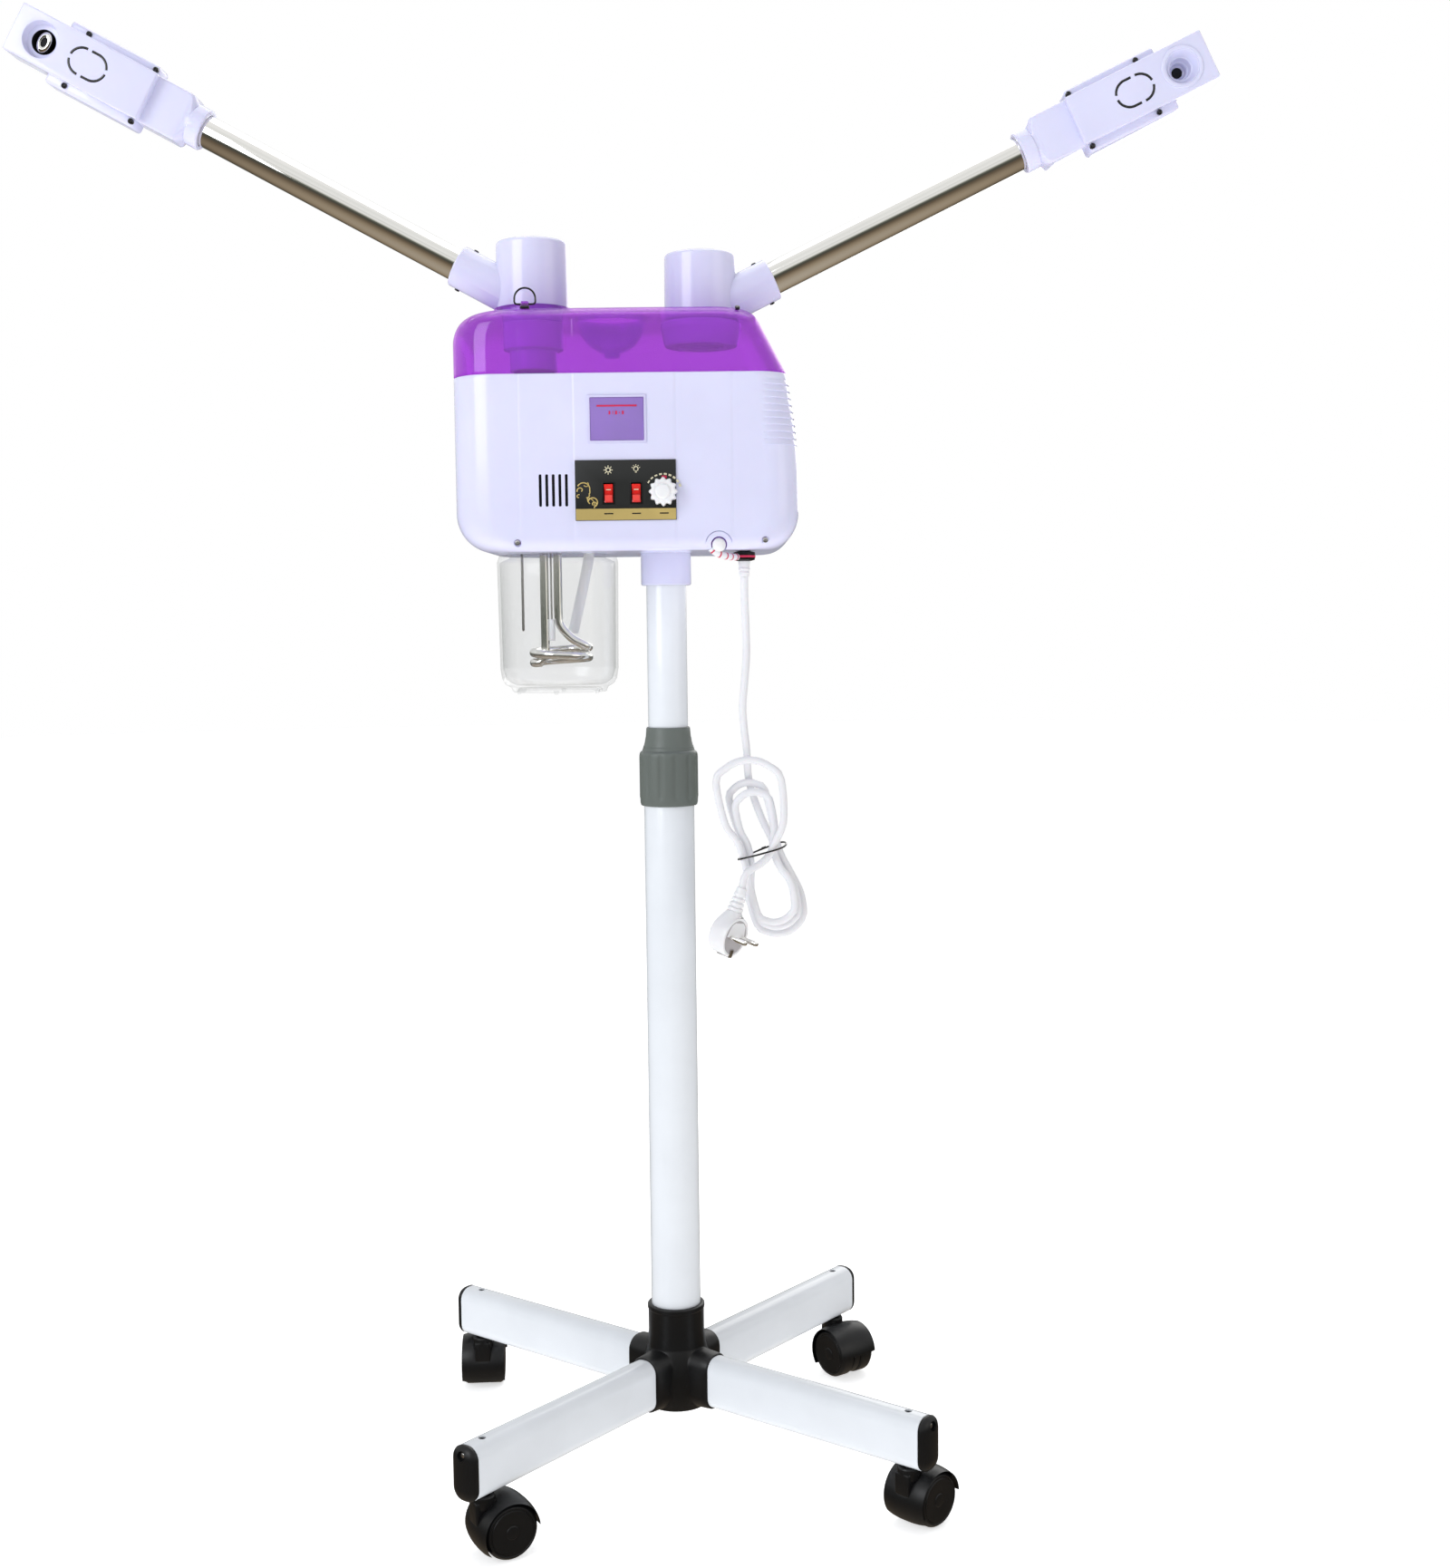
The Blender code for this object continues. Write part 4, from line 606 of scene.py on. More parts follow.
def make_plug(matrix):
    """Angled two-pin plug with earth clips and a ribbed strain relief, about its tail."""
    ribs = [(0, 0.0006), (0.0046, 0.0006, 0.0005), (0.005, -0.004)]
    for k in range(4):
        z, r = -0.005 - 0.0046 * k, 0.0056 + 0.0006 * k
        ribs += [(r, z, 0.0004), (r + 0.0002, z - 0.0028, 0.0004), (r - 0.0014, z - 0.0032, 0.0003),
                 (r - 0.0014, z - 0.0044, 0.0003)]
    ribs += [(0.0072, -0.0245), (0, -0.0245)]
    relief = turned(ribs, 48)
    middle = -0.045
    shoulder = lofted([
        [(x, y, z) for x, y in rounded_rectangle((-half_x, -half_y), (half_x, half_y), [corner] * 4, 6)]
        for z, half_x, half_y, corner in (
            (-0.0225, 0.007, 0.007, 0.0068), (-0.024, 0.0078, 0.008, 0.0074),
            (-0.029, 0.0092, 0.0118, 0.007), (-0.035, 0.01, 0.016, 0.007), (-0.045, 0.0104, 0.018, 0.007))])
    disc = moved(turned([
        (0, -0.012), (0.0125, -0.0118, 0.003), (0.0182, -0.008, 0.003), (0.019, 0.004),
        (0.019, 0.01, 0.0007), (0.0168, 0.01, 0.0004), (0.0162, 0.0092), (0, 0.0092)], 80, "X"),
        (0, 0, middle))
    body = carved(disc, [shoulder, relief])
    plug = piece("plug_fine", body, WHITE, "head", matrix, ("plug",))
    pins = []
    for y in (-0.0095, 0.0095):
        pin = turned([(0, 0.0088), (0.0024, 0.0088), (0.0024, 0.0268, 0.0008), (0.0016, 0.0288, 0.0008),
                      (0, 0.029)],
                     32, "X")
        pins.append(moved(pin, (0, y, middle)))
    contacts = [detail("plug_pins", merged(*pins), CHROME, "head", matrix)]
    clips = [block((-0.004, -0.0026, middle + side * 0.0192 - 0.0005),
                   (0.0104, 0.0026, middle + side * 0.0192 + 0.0005),
                   0.0003) for side in (-1, 1)]
    clips.append(block((0.0092, -0.0026, middle - 0.0195), (0.0106, 0.0026, middle - 0.012), 0.0003))
    contacts.append(detail("plug_earth_clips", merged(*clips), STEEL, "head", matrix))
    face = moved(turned([(0, 0.0089), (0.016, 0.0089), (0.016, 0.0095, 0.0002), (0, 0.0095)], 72, "X"),
                 (0, 0, middle))
    contacts.append(detail("plug_face", face, PLUG_GREY, "head", matrix))
    return [plug] + contacts


# ---------------------------------------------------------------- base and casters

LEG_TURNS_DEG = {"front_right": -37.9, "rear_right": 52.1, "rear_left": 142.1, "front_left": 232.1}
CASTER_HEADINGS_DEG = {"front_left": 31.0, "front_right": 45.0, "rear_right": -54.0, "rear_left": 93.0}
CASTER_REACH = 0.2695
LEG_END = 0.2875
WHEEL_TRAIL = 0.018
WHEEL_RADIUS = 0.025


def leg_section(grow, x):
    """Rounded leg section at a distance from the mast, made larger all round."""
    outline = rounded_rectangle((-0.014 - grow, 0.058 - grow), (0.014 + grow, 0.108 + grow),
                                [0.012 + grow] * 4)
    return [(x, y, z) for y, z in outline]


def make_hub():
    """Cast hub with a rimmed neck and four flared sockets round the legs."""
    core = turned([
        (0, 0.052), (0.03, 0.052, 0.002), (0.0345, 0.07), (0.0325, 0.098), (0.0285, 0.112, 0.01),
        (0.0272, 0.126), (0.0272, 0.147, 0.001), (0.0279, 0.1478, 0.0006), (0.0279, 0.1516, 0.001),
        (0.0262, 0.1524, 0.0006), (0, 0.1524)], 96)
    sockets = []
    for degrees in LEG_TURNS_DEG.values():
        flare = [leg_section(grow, x) for x, grow in (
            (0.01, 0.004), (0.03, 0.0032), (0.04, 0.0024), (0.0478, 0.0019), (0.049, 0.0014),
            (0.0494, 0.0006))]
        tenon = [leg_section(-0.0018, x) for x in (0.04, 0.075)]
        sockets += [moved(lofted(rings), turn=turn_deg(degrees, "Z")) for rings in (flare, tenon)]
    bore = rod(0.0243, 0.0717, 0.16, 96)
    hub = carved(core, sockets, [bore], edge=0.0009)
    fine("base_hub", hub, BLACK, "base", FLOOR_HOME)


def caster_hood():
    """Barrel-shaped hood over the wheels, with a web and a notched neck, trailing along +X."""
    hub_x, hub_z = WHEEL_TRAIL, WHEEL_RADIUS
    rings = []
    for k in range(41):
        angle = math.radians(218 - 214 * k / 40)
        section = []
        for step in range(13):
            y = -0.0228 + 0.0456 * step / 12
            section.append((0.0289 - 0.0026 * abs(y / 0.0228) ** 2.6, y))
        section += [(0.0264, 0.0226), (0.0264, -0.0226)]
        rings.append([(hub_x + r * math.cos(angle), y, hub_z + r * math.sin(angle)) for r, y in section])
    hood = lofted(rings)
    web = [(hub_x + 0.027 * math.cos(a), hub_z + 0.027 * math.sin(a))
           for a in (math.radians(218 - 214 * k / 24) for k in range(25))]
    web += [(hub_x + 0.0238 * math.cos(a), hub_z + 0.0238 * math.sin(a))
            for a in (math.radians(-4 * k) for k in range(34))]
    web = extruded(web, -0.004, 0.004, "XZ")
    neck = block((-0.0105, -0.008, 0.032), (0.0105, 0.008, 0.0525), 0.0015)
    boss = turned([(0, 0.046), (0.0105, 0.046), (0.0105, 0.056, 0.0008), (0.0096, 0.0573, 0.0003),
                   (0.0055, 0.0573), (0.0055, 0.089), (0, 0.089)], 48)
    wheel_room = [moved(pipe(0.0262, 0.001, y, y + 0.0176, 64, "Y", 0.0),
                        (hub_x, 0, hub_z)) for y in (-0.0219, 0.0043)]
    return carved(boss, [web, neck, hood], wheel_room, edge=0.0005)


def caster_wheel():
    """Wheel with a rounded tread, a grooved side and a dished disc face; +Z looks out of the caster."""
    return turned([
        (0.0033, 0.0048), (0.0236, 0.0048, 0.0006), (WHEEL_RADIUS, 0.0064, 0.001),
        (WHEEL_RADIUS, 0.018, 0.003), (0.0225, 0.0212, 0.001), (0.0214, 0.0214, 0.0004),
        (0.0208, 0.0206, 0.0003), (0.02, 0.0206, 0.0003), (0.0194, 0.0215, 0.0004), (0.01, 0.0209),
        (0.0062, 0.0207, 0.0004), (0.0056, 0.0214, 0.0004), (0, 0.0216), (0, 0.0166), (0.0033, 0.0166)], 96)


def make_base():
    """Hub, legs with end caps and screws, and the four casters."""
    make_hub()
    hood, wheel = caster_hood(), caster_wheel()
    axle = rod(0.003, -0.0163, 0.0163, 32, "Y", 0.0004)
    shell = [leg_section(g, x) for x, g in ((0.0471, -0.0004), (0.0475, 0), (LEG_END - 0.0004, 0),
                                           (LEG_END, -0.0004), (LEG_END, -0.0014), (0.0471, -0.0014))]
    hole = post((CASTER_REACH, 0), 0.0034, 0.1045, 0.12, 48)
    stem_hole = post((CASTER_REACH, 0), 0.0067, 0.05, 0.064, 32)
    leg = carved(lofted(shell, True), cut=[hole, stem_hole])
    cap = lofted([leg_section(g, LEG_END + past) for past, g in (
        (-0.016, -0.002), (-0.0001, -0.002), (0.0003, -0.0003), (0.003, 0.0001), (0.005, -0.001),
        (0.007, -0.0036), (0.0082, -0.007), (0.0088, -0.0105))])
    dimple = moved(rod(0.0044, LEG_END + 0.0058, LEG_END + 0.012, 32, "X"), (0, 0, 0.1))
    cap = carved(cap, cut=[post((CASTER_REACH, 0), 0.0058, 0.05, 0.0905, 32), dimple])
    rivet = moved(turned([(0, 0.0048), (0.0026, 0.0048), (0.0022, 0.0062, 0.0006), (0, 0.0066)], 32, "X"),
                  (LEG_END, 0, 0.1))
    screw = moved(turned([(0, 0.1035), (0.0031, 0.1035), (0.003, 0.106, 0.0005), (0.0016, 0.1066),
                          (0.0014, 0.105), (0, 0.105)], 40), (CASTER_REACH, 0, 0))
    for corner, degrees in LEG_TURNS_DEG.items():
        line = FLOOR_HOME @ turn_deg(degrees, "Z")
        fine("leg_" + corner, leg.copy(), WHITE_PAINT, "base", line)
        fine("leg_cap_" + corner, cap.copy(), BLACK, "base", line)
        detail("leg_cap_rivet_" + corner, rivet.copy(), STEEL, "base", line)
        detail("leg_screw_" + corner, screw.copy(), BLACK_GLOSS, "base", line)
        angle = math.radians(degrees)
        heading = CASTER_HEADINGS_DEG[corner]
        under_leg = (CASTER_REACH * math.cos(angle), CASTER_REACH * math.sin(angle), 0)
        foot = FLOOR_HOME @ Matrix.Translation(under_leg) @ turn_deg(heading, "Z")
        fine("caster_housing_" + corner, hood.copy(), BLACK, "caster_" + corner, foot)
        hub = foot @ Matrix.Translation((WHEEL_TRAIL, 0, WHEEL_RADIUS))
        fine("caster_axle_" + corner, axle.copy(), STEEL, "caster_" + corner, hub)
        for side, turn in (("a", 90), ("b", -90)):
            fine("caster_wheel_" + corner + "_" + side, wheel.copy(), BLACK, "wheel_" + corner + "_" + side,
                 hub @ turn_deg(turn, "X"))


# ---------------------------------------------------------------- mast

def make_mast():
    """Outer and sliding tube, bush and fluted clamp collar."""
    outer_tube = pipe(0.024, 0.0225, 0.072, 0.65 + MAST_LIFT, 128)
    fine("lower_tube", outer_tube, WHITE_PAINT, "base", FLOOR_HOME)
    fine("upper_tube", pipe(0.019, 0.0175, 0.33, 0.899, 128), WHITE_PAINT, "mast")
    bush = turned([(0.0193, 0.58), (0.0222, 0.58, 0.0005), (0.0222, 0.6503), (0.0235, 0.6503),
                   (0.0225, 0.6678, 0.0004), (0.0193, 0.668)], 96)
    fine("clamp_bush", bush, NYLON, "base")
    levels = (
        (0.0243, 0.613, 0), (0.0262, 0.613, 0), (0.027, 0.6136, 0), (0.0276, 0.616, 0),
        (0.0277, 0.619, 0.0001), (0.0281, 0.6215, 0.0009), (0.0281, 0.624, 0.0013), (0.0281, 0.659, 0.0013),
        (0.028, 0.6612, 0.0008), (0.0276, 0.6632, 0.0001), (0.0268, 0.6646, 0), (0.0252, 0.6656, 0),
        (0.0228, 0.673, 0), (0.0215, 0.68, 0), (0.021, 0.6868, 0), (0.0205, 0.6878, 0), (0.0199, 0.688, 0),
        (0.0197, 0.687, 0), (0.0197, 0.674, 0), (0.0243, 0.669, 0))
    rings = []
    for radius, height, flute in levels:
        ring = []
        for k in range(240):
            angle = math.tau * k / 240
            wave = (0.5 - 0.5 * math.cos(12 * angle)) ** 3
            r = radius - flute * wave
            ring.append((r * math.cos(angle), r * math.sin(angle), height))
        rings.append(ring)
    fine("clamp_collar", lofted(rings, True), GREY, "collar")
    socket = turned([
        (0.0193, 0.823), (0.0228, 0.823, 0.0006), (0.0238, 0.8242, 0.0006), (0.0238, 0.8495, 0.0006),
        (0.0238, 0.905), (0, 0.905), (0, 0.8995), (0.0193, 0.8995)], 96)
    fine("mast_socket", socket, LILAC, "head")


# ---------------------------------------------------------------- boiler head

BODY_LEFT = -0.191
BODY_BOTTOM = 0.853
BODY_SEAM = 1.012
BODY_TOP = 1.072
BODY_HALF_DEPTH = 0.095
BODY_WALL = 0.0026
BODY_RIGHT_PROFILE = ((0.853, 0.125), (0.925, 0.1245), (0.965, 0.1215), (1.012, 0.1145), (1.072, 0.083))
BOTTOM_ROUND = 0.036
TOP_ROUND = 0.03
LID_SHOULDER = (0.022, 0.015)
EDGE_ROUND = 0.012
FRONT = -BODY_HALF_DEPTH
CREASES = ((-0.1275, 0.0004), (-0.0785, 0.0005), (0.0125, -0.0005), (0.0635, -0.0004))
CREASE_WIDTH = 0.0022
LOUVRE_X = 0.0915
LOUVRE_Z = (0.947, 1.0065)
LOUVRE_PITCH = 0.006
PANEL_X = (-0.078, 0.013)
PANEL_Z = (0.88, 0.934)
WINDOW_X = (-0.065, -0.014)
WINDOW_Z = (0.95, 0.991)
LEFT_X, RIGHT_X, BOWL_X, JAR_X = -0.122, 0.036, -0.048, -0.103
CASING_SCREWS = (("left", -0.131), ("right", 0.093))
CASING_SCREW_Z = 0.861
DRAIN_X, DRAIN_Z = 0.051, 0.8575
ROCKERS = (("left", -0.048), ("right", -0.023))
KNOB_X, KNOB_Z = 0.0015, 0.905
COIL_X, COIL_Y = -0.0996, -0.018
COIL_TAILS = (("left", -0.0144), ("right", -0.0016))


def right_edge(z):
    """Distance of the casing's right side from the mast at a height, along a smooth curve."""
    low = BODY_RIGHT_PROFILE[0]
    for high in BODY_RIGHT_PROFILE[1:]:
        if z <= high[0]:
            share = (z - low[0]) / (high[0] - low[0])
            return low[1] + share * (high[1] - low[1])
        low = high
    return low[1]


def round_over(distance, radius, height):
    """How far a surface draws in, at a distance from its end, under an elliptical edge."""
    if distance >= height:
        return 0.0
    share = 1 - max(distance, 0) / height
    return radius * (1 - math.sqrt(1 - share * share))


def relief(x, y, z):
    """Height of the pressed panels and louvres over the plain outline."""
    height = -0.0004
    if y < 0:
        for crease, step in CREASES:
            share = min(1, max(0, (x - crease) / CREASE_WIDTH + 0.5))
            height += step * (3 * share ** 2 - 2 * share ** 3)
    if x > LOUVRE_X and y < 0.06 and LOUVRE_Z[0] < z < LOUVRE_Z[1]:
        wave = ((z - LOUVRE_Z[0]) % LOUVRE_PITCH) / LOUVRE_PITCH
        edge = min(1, (x - LOUVRE_X) / 0.004) * min(1, (0.06 - y) / 0.006)
        height += 0.0016 * edge * (0.5 - wave)
    return height


def body_section(z, inset=0.0, shaped=True):
    """Fine outline of the boiler head at a height, drawn in by a wall's thickness."""
    up = z - BODY_BOTTOM - inset
    down = BODY_TOP - inset - z
    shoulder = round_over(down, *LID_SHOULDER)
    side_low = round_over(up, BOTTOM_ROUND - inset, BOTTOM_ROUND - inset)
    left = BODY_LEFT + inset + side_low + round_over(down, TOP_ROUND - inset, TOP_ROUND - inset)
    right = right_edge(z) - inset - side_low * 0.85 - round_over(down, EDGE_ROUND - inset, EDGE_ROUND - inset)
    depth = BODY_HALF_DEPTH - inset - round_over(up, EDGE_ROUND - inset, EDGE_ROUND - inset) - shoulder
    corners = (0.042 - inset, 0.03 - inset, 0.03 - inset, 0.042 - inset)
    corner_points = rounded_rectangle((left, -depth), (right, depth), corners, 20)
    front_start, front_end = corner_points[20], corner_points[21]
    points = corner_points[:21]
    for k in range(1, 280):
        share = k / 280
        points.append((front_start[0] + (front_end[0] - front_start[0]) * share, -depth))
    points += corner_points[21:42]
    side_start, side_end = corner_points[41], corner_points[42]
    for k in range(1, 12):
        share = k / 12
        points.append((right, side_start[1] + (side_end[1] - side_start[1]) * share))
    points += corner_points[42:]
    if not shaped:
        return [(x, y, z) for x, y in points]
    result = []
    count = len(points)
    for k, (x, y) in enumerate(points):
        before, after = points[k - 1], points[(k + 1) % count]
        along = Vector((after[0] - before[0], after[1] - before[1]))
        normal = Vector((along.y, -along.x)).normalized()
        push = relief(x, y, z)
        result.append((x + normal.x * push, y + normal.y * push, z))
    return result


def spaced(low, high, step):
    """Evenly spaced heights, both ends included."""
    count = max(1, round((high - low) / step))
    return [low + (high - low) * k / count for k in range(count + 1)]


def screw_dimple(x, z):
    """Cutter for a shallow conical screw recess in the front."""
    return moved(turned([(0, -0.004), (0.004, -0.004), (0.0026, 0.0012), (0, 0.0012)], 40, "Y"),
                 (x, FRONT + 0.0002, z))


def make_casing():
    """Lower casing with its pressed front, vents, louvres and screw recesses, and a dark sheet of painted
    shade behind the vents.
    """
    seam = BODY_SEAM - 0.0003
    heights = [BODY_BOTTOM + BOTTOM_ROUND * (1 - math.cos(math.radians(5 * k))) for k in range(18)]
    heights += spaced(BODY_BOTTOM + BOTTOM_ROUND, LOUVRE_Z[0], 0.006)
    heights += spaced(LOUVRE_Z[0] + 0.0001, LOUVRE_Z[1], 0.001)
    heights += [LOUVRE_Z[1] + 0.0006, seam - 0.0008]
    outer = [body_section(z) for z in heights]
    lip = body_section(seam, 0.0005)
    inner_round = BOTTOM_ROUND - BODY_WALL
    inner_heights = [BODY_BOTTOM + BODY_WALL + inner_round * (1 - math.cos(math.radians(10 * k)))
                     for k in range(10)] + [0.93, seam]
    inner = [body_section(z, BODY_WALL, False) for z in inner_heights]
    shell = lofted(outer + [lip] + inner[::-1])
    below, above = BODY_BOTTOM - 0.005, BODY_BOTTOM + BODY_WALL + 0.004
    collar = post((JAR_X, 0), 0.0518, BODY_BOTTOM + BODY_WALL - 0.001, 0.8715, 96)
    holes = [
        post((JAR_X, 0), 0.0484, below, 0.885, 96),
        rod(0.0241, below, above, 96),
        post((GLAND_X, GLAND_Y), 0.0063, below, above, 64),
        moved(rod(0.0072, 0.07, 0.11, 64, "Y"), (DRAIN_X, 0, DRAIN_Z)),
        front_block(WINDOW_X, WINDOW_Z, -0.001, -0.01, 0.01, 0.0015),
        block((PANEL_X[0] + 0.006, FRONT - 0.01, PANEL_Z[0] + 0.006),
              (PANEL_X[1] - 0.001, FRONT + 0.01, PANEL_Z[1] - 0.006)),
    ]
    for k in range(5):
        x = -0.1095 + 0.0059 * k
        holes.append(block((x - 0.0013, FRONT - 0.01, 0.893), (x + 0.0013, FRONT + 0.01, 0.922), 0.001, 2))
    holes += [screw_dimple(x, CASING_SCREW_Z) for _, x in CASING_SCREWS]
    arch = moved(pipe(0.0124, 0.0116, 0.0945 - 0.0012, 0.1, 96, "Y", 0.0), (DRAIN_X, 0, DRAIN_Z))
    casing = carved(shell, [collar], holes + [arch])
    fine("casing", casing, LILAC, "head")
    # A dark sheet of painted shade just behind the vent holes, where the inside would be in shade.
    vent_shade_block = block((-0.118, FRONT + 0.0034, 0.888), (-0.079, FRONT + 0.0044, 0.927), 0.0004)
    detail("vent_shade_sheet", vent_shade_block, PAINTED_SHADE, "head")
    for name, x in CASING_SCREWS:
        head = turned([(0, -0.0008), (0.0024, -0.0008), (0.0024, 0.0002, 0.0004), (0.0008, 0.0003),
                       (0.0006, -0.0004), (0, -0.0004)], 32, "Y")
        detail("casing_screw_" + name, head, STEEL, "head", at(x, FRONT + 0.0002, CASING_SCREW_Z))


def make_lid():
    """Purple lid with its neck ring, front rib and lug, screw, and the D-shaped ring."""
    seam = BODY_SEAM + 0.0003
    heights = [seam + 0.0008] + spaced(seam + 0.002, BODY_TOP - TOP_ROUND, 0.006)
    heights += [BODY_TOP - TOP_ROUND * (1 - math.sin(math.radians(4.5 * k))) for k in range(1, 21)]
    inner_top = BODY_TOP - BODY_WALL
    inner_heights = [seam] + spaced(seam + 0.004, BODY_TOP - TOP_ROUND, 0.012)
    inner_round = TOP_ROUND - BODY_WALL
    inner_heights += [inner_top - inner_round * (1 - math.sin(math.radians(9 * k))) for k in range(1, 11)]
    outer = [body_section(z) for z in heights]
    lip = body_section(seam, 0.0005)
    inner = [body_section(z, BODY_WALL, False) for z in inner_heights]
    shell = lofted(outer[::-1] + [lip] + inner)
    ring = moved(turned([(0, inner_top + 0.001), (0.0372, inner_top + 0.001), (0.0372, 1.08, 0.001),
                         (0.0362, 1.083, 0.001), (0, 1.083)], 96), (LEFT_X, 0, 0))
    lug = block((LEFT_X - 0.0035, -0.0795, inner_top + 0.001), (LEFT_X + 0.0035, -0.0725, 1.0782), 0.0012)
    holes = [
        post((LEFT_X, 0), 0.029, inner_top - 0.01, 1.095, 96),
        post((RIGHT_X, 0), 0.029, inner_top - 0.01, 1.082, 96),
        post((BOWL_X, 0), 0.0326, inner_top - 0.01, 1.082, 96),
        moved(rod(0.0014, -0.01, 0.01, 24, "X"), (LEFT_X, -0.076, 1.0758)),
    ]
    fine("lid", carved(shell, [ring, lug], holes), PURPLE, "head")
    dark_lug = block((LEFT_X - 0.0042, -0.08, 1.0712), (LEFT_X + 0.0042, -0.072, 1.0742), 0.0008)
    detail("bail_lug_foot", dark_lug, BLACK_GLOSS, "head")
    screw = turned([(0, -0.002), (0.0022, -0.002), (0.0022, 0.0006, 0.0005), (0, 0.0009)], 32, "Y")
    detail("lid_screw", screw, BLACK_GLOSS, "head", at(0.07, -0.0838, 1.07, (-50, "X")))
    width, height, corner = 0.0095, 0.0145, 0.0025
    points = [(-width + corner, 0, 0), (0, 0, 0), (width - corner, 0, 0)]
    points += [(width - corner * (1 - math.sin(a)), 0, corner * (1 - math.cos(a)))
               for a in (math.radians(15 * k) for k in range(1, 7))]
    points += [(width * math.cos(a), 0, height - width + width * math.sin(a))
               for a in (math.radians(7.5 * k) for k in range(25))]
    points += [(-width + corner * (1 - math.sin(a)), 0, corner * (1 - math.cos(a)))
               for a in (math.radians(15 * k) for k in range(6, 0, -1))]
    fine("neck_bail", wire(points, 0.0009, 6, True), BLACK_GLOSS, "bail",
         at(LEFT_X, -0.076, 1.0758))


def make_jar():
    """Glass jar with its foot, and the boiler head with heater, probe and feed hose."""
    jar = turned([
        (0, 0.727), (0.0395, 0.727, 0.001), (0.0408, 0.7232, 0.0012), (0.0446, 0.723, 0.0015),
        (0.0462, 0.7275, 0.002), (0.0515, 0.7303, 0.003), (0.0548, 0.7358, 0.004), (0.0562, 0.745, 0.008),
        (0.0575, 0.846, 0.003), (0.0555, 0.8522, 0.001), (0.0478, 0.8524, 0.0005), (0.0478, 0.8713, 0.0004),
        (0.0453, 0.8713, 0.0004), (0.0453, 0.85, 0.002), (0.055, 0.846, 0.003), (0.0537, 0.745, 0.008),
        (0.0505, 0.7352, 0.006), (0.043, 0.73, 0.004), (0, 0.7298)], 144)
    fine("jar", jar, GLASS, "glass_jar", at(JAR_X, 0, 0))
    nubs = [moved(turned([(0, 0.7215), (0.0016, 0.7215, 0.0006), (0.0026, 0.725), (0, 0.7252)], 24),
                  (0.0427 * math.cos(a), 0.0427 * math.sin(a),
                   0)) for a in (math.radians(30 + 60 * k) for k in range(6))]
    detail("jar_feet", merged(*nubs), GLASS, "glass_jar", at(JAR_X, 0, 0))
    bottom = 0.8718
    disc = moved(turned([(0, bottom), (0.0515, bottom, 0.0008), (0.0515, 0.88, 0.0012), (0, 0.88)], 96),
                 (JAR_X, 0, 0))
    outlet = moved(pipe(0.0155, 0.0125, 0.879, 1.02, 96), (LEFT_X, 0, 0))
    bores = [post((LEFT_X, 0), 0.0125, bottom - 0.01, 0.89, 64)]
    bores += [post((COIL_X + x, COIL_Y - 0.006), 0.0043, bottom - 0.01, 0.89, 40)
              for _, x in COIL_TAILS]
    bores.append(post((-0.0726, 0.012), 0.0056, bottom - 0.01, 0.89, 40))
    bores.append(post((-0.1345, -0.024), 0.0017, bottom - 0.01, 0.89, 32))
    fine("boiler_head", carved(disc, [outlet], bores), NYLON, "head")

    coil_radius, top, pitch = 0.026, 0.7655, 0.0095
    turns = [Vector((coil_radius * math.cos(a), coil_radius * math.sin(a), top - pitch * a / math.tau))
             for a in (math.radians(7.5 * k) for k in range(73))]
    low = turns[-1].z
    down = [(-0.0016, -0.006, 0.882), (-0.0016, -0.006, 0.84), (-0.0016, -0.006, 0.798),
            (0.0004, -0.006, 0.786), (0.01, -0.006, 0.7745), (0.019, -0.006, 0.769),
            (0.0245, -0.004, 0.766), tuple(turns[0])]
    back = [tuple(turns[-1]), (-0.0245, -0.0055, low - 0.0002), (-0.0195, -0.0085, low),
            (-0.0155, -0.0075, low + 0.004), (-0.0144, -0.006, low + 0.012), (-0.0144, -0.006, 0.8),
            (-0.0144, -0.006, 0.84), (-0.0144, -0.006, 0.882)]
    route = smooth_route(down, 0.004) + turns[1:-1] + smooth_route(back, 0.004)
    centre = at(COIL_X, COIL_Y, 0)
    fine("heater_coil", wire(route, 0.004, 8), CHROME, "head", centre)
    for name, x in COIL_TAILS:
        nut = turned([(0.0041, 0.864), (0.0068, 0.864, 0.0005), (0.0068, 0.8716), (0.0041, 0.8716)], 6)
        detail("heater_nut_" + name, nut, STEEL, "head", centre @ Matrix.Translation((x, -0.006, 0)))
    sleeve = turned([(0, 0.772), (0.003, 0.772, 0.0006), (0.003, 0.792, 0.0006), (0, 0.792)], 32)
    detail("thermostat_sleeve", sleeve, WHITE, "head", centre @ Matrix.Translation((-0.008, -0.006, 0)))
    bulb = turned([(0, 0.786), (0.0009, 0.786), (0.0009, 0.872), (0, 0.872)], 24)
    detail("thermostat_wire", bulb, STEEL, "head", centre @ Matrix.Translation((-0.008, -0.006, 0)))
    probe = turned([(0, 0.781), (0.001, 0.7812, 0.0005), (0.00125, 0.783), (0.00125, 0.882), (0, 0.882)], 32)
    fine("level_probe", probe, STEEL, "head", at(-0.1345, -0.024, 0))
    hose = smooth_route([(-0.0726, 0.012, 0.886), (-0.0726, 0.012, 0.868), (-0.0735, 0.012, 0.855),
                         (-0.078, 0.0125, 0.832), (-0.084, 0.013, 0.806), (-0.0905, 0.014, 0.779)], 0.004)
    fine("feed_hose", wire(hose, 0.005, 8), CORD_WHITE, "head")


